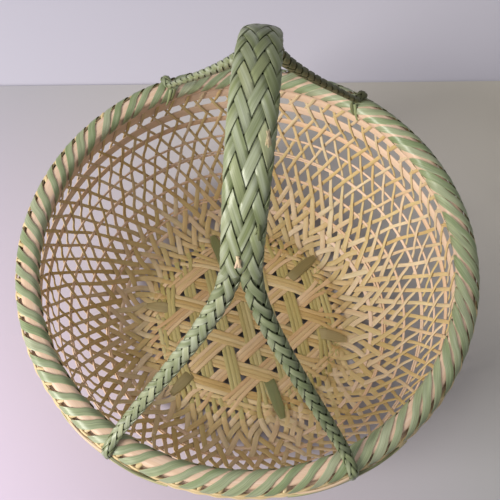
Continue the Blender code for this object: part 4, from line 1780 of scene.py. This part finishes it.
@dataclass
class Studio:
    """The floor, the backdrop, the lamps and the camera.

    Attributes:
        azimuth: The camera's azimuth round the basket, in degrees.
        elevation: Its height above the horizon, in degrees.
        roll: How far the camera is turned about its own axis, in degrees.
        distance: Its distance from the target.
        target: The point that it looks at.
        lens: Its focal length, in millimetres.
        sensor: Width of its sensor, in millimetres.
        picture_side: Side of the square picture, in pixels.
        floor_line_pixels: Heights in the picture of the floor's back edge, at the left and the right.
        sheet_side: Half of the side of a sheet.
        sheet_drop: How much lower the backdrop lies.
        lamps: Names, places, sides, powers and colours of the lamps.
        lit: The point that the lamps look at.
        sky: Colour of the light from all round.
        sky_strength: How strong that is.
    """

    azimuth: float = 2.5
    elevation: float = 66.2
    roll: float = 2.4
    distance: float = 426 * MM
    target: tuple[float, float, float] = (0.5 * MM, 4.6 * MM, 120 * MM)
    lens: float = 54
    sensor: float = 36
    picture_side: int = 500
    floor_line_pixels: Pair = (86, 81)
    sheet_side: float = 3.0
    sheet_drop: float = 3 * MM
    lamps: tuple[tuple[str, tuple[float, float, float], float, float, str], ...] = (
        ("key", (-1.05, -0.68, 0.84), 0.6, 31.0, "FFFAF2"),
        ("fill", (0.8, -0.9, 0.9), 1.2, 0.8, "F4F4FF"),
        ("top", (0.0, 0.1, 1.4), 1.0, 3.5, "FFFDF8"),
    )
    lit: tuple[float, float, float] = (0, 0, 0.1)
    sky: str = "ECE9EA"
    sky_strength: float = 0.28

    def __post_init__(self) -> None:
        """Works out the camera's directions and place."""
        azimuth, elevation, roll = (math.radians(x) for x in (-self.azimuth, self.elevation, self.roll))
        flat = math.cos(elevation)
        self.forward = Vector((math.sin(azimuth) * flat, math.cos(azimuth) * flat, -math.sin(elevation)))
        level = self.forward.cross(Vector((0, 0, 1))).normalized()
        upright = level.cross(self.forward)
        self.right = level * math.cos(roll) + upright * math.sin(roll)
        self.up = upright * math.cos(roll) - level * math.sin(roll)
        self.eye = Vector(self.target) - self.forward * self.distance

    def build_camera(self) -> None:
        """Makes the camera."""
        data = bpy.data.cameras.new("camera")
        data.lens = self.lens
        data.sensor_width = self.sensor
        made = bpy.data.objects.new("camera", data)
        bpy.context.scene.collection.objects.link(made)
        turned = Matrix((self.right, self.up, -self.forward)).transposed()
        made.matrix_world = Matrix.Translation(self.eye) @ turned.to_4x4()
        bpy.context.scene.camera = made

    def floor_point(self, across: float, down: float) -> Vector:
        """The point of the floor that a pixel shows.

        Args:
            across: The pixel's place from the left.
            down: Its place from the top.

        Returns:
            The point.
        """
        focal = self.lens / self.sensor * self.picture_side
        half = self.picture_side / 2
        ray = self.forward + self.right * (across - half) / focal + self.up * (half - down) / focal
        return self.eye - ray * (self.eye.z / ray.z)

    def build_stage(self) -> None:
        """Makes the floor and, beyond its back edge, a second sheet that lies a little lower."""
        left = self.floor_point(0, self.floor_line_pixels[0])
        right = self.floor_point(self.picture_side, self.floor_line_pixels[1])
        along = (right - left).normalized()
        ahead = Vector((-along.y, along.x, 0))
        turned = Matrix((along, ahead, Vector((0, 0, 1)))).transposed().to_4x4()
        for name, side, height in (("floor", -1, 0.0), ("backdrop", 1, -self.sheet_drop)):
            deselect()
            bpy.ops.mesh.primitive_plane_add(size=2 * self.sheet_side)
            sheet = bpy.context.object
            sheet.name = name
            middle = (left + right) / 2 + ahead * side * self.sheet_side + Vector((0, 0, height))
            sheet.data.transform(Matrix.Translation(middle) @ turned)
            sheet.data.materials.append(material(name))

    def build_lamps(self) -> None:
        """Makes the soft lamps and the world's light."""
        for name, place, side, power, colour in self.lamps:
            data = bpy.data.lights.new(name, "AREA")
            data.size = side
            data.energy = power
            data.color = srgb(colour)[:3]
            made = bpy.data.objects.new(name, data)
            bpy.context.scene.collection.objects.link(made)
            made.location = place
            made.rotation_mode = "QUATERNION"
            made.rotation_quaternion = (Vector(self.lit) - Vector(place)).to_track_quat("-Z", "Y")
        world = bpy.data.worlds.new("studio")
        bpy.context.scene.world = world
        world.use_nodes = True
        background = world.node_tree.nodes["Background"]
        connect(world.node_tree, background, Color=srgb(self.sky), Strength=self.sky_strength)


def main() -> None:
    """Builds the basket's pieces in order, then the studio."""
    logging.basicConfig(level=logging.INFO, format="%(message)s")
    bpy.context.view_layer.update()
    bowl = Bowl()
    hoops = WallHoops(bowl)
    rim = Rim()
    Weave(bowl, hoops.middles()).build()
    hoops.build()
    BaseSlats(bowl).build()
    rim.build()
    handle = Handle(rim)
    handle.build()
    RimTies(handle.foot_angle).build()
    studio = Studio()
    studio.build_camera()
    studio.build_stage()
    studio.build_lamps()
    bpy.context.scene.view_settings.view_transform = "Standard"


if __name__ == "__main__":
    main()
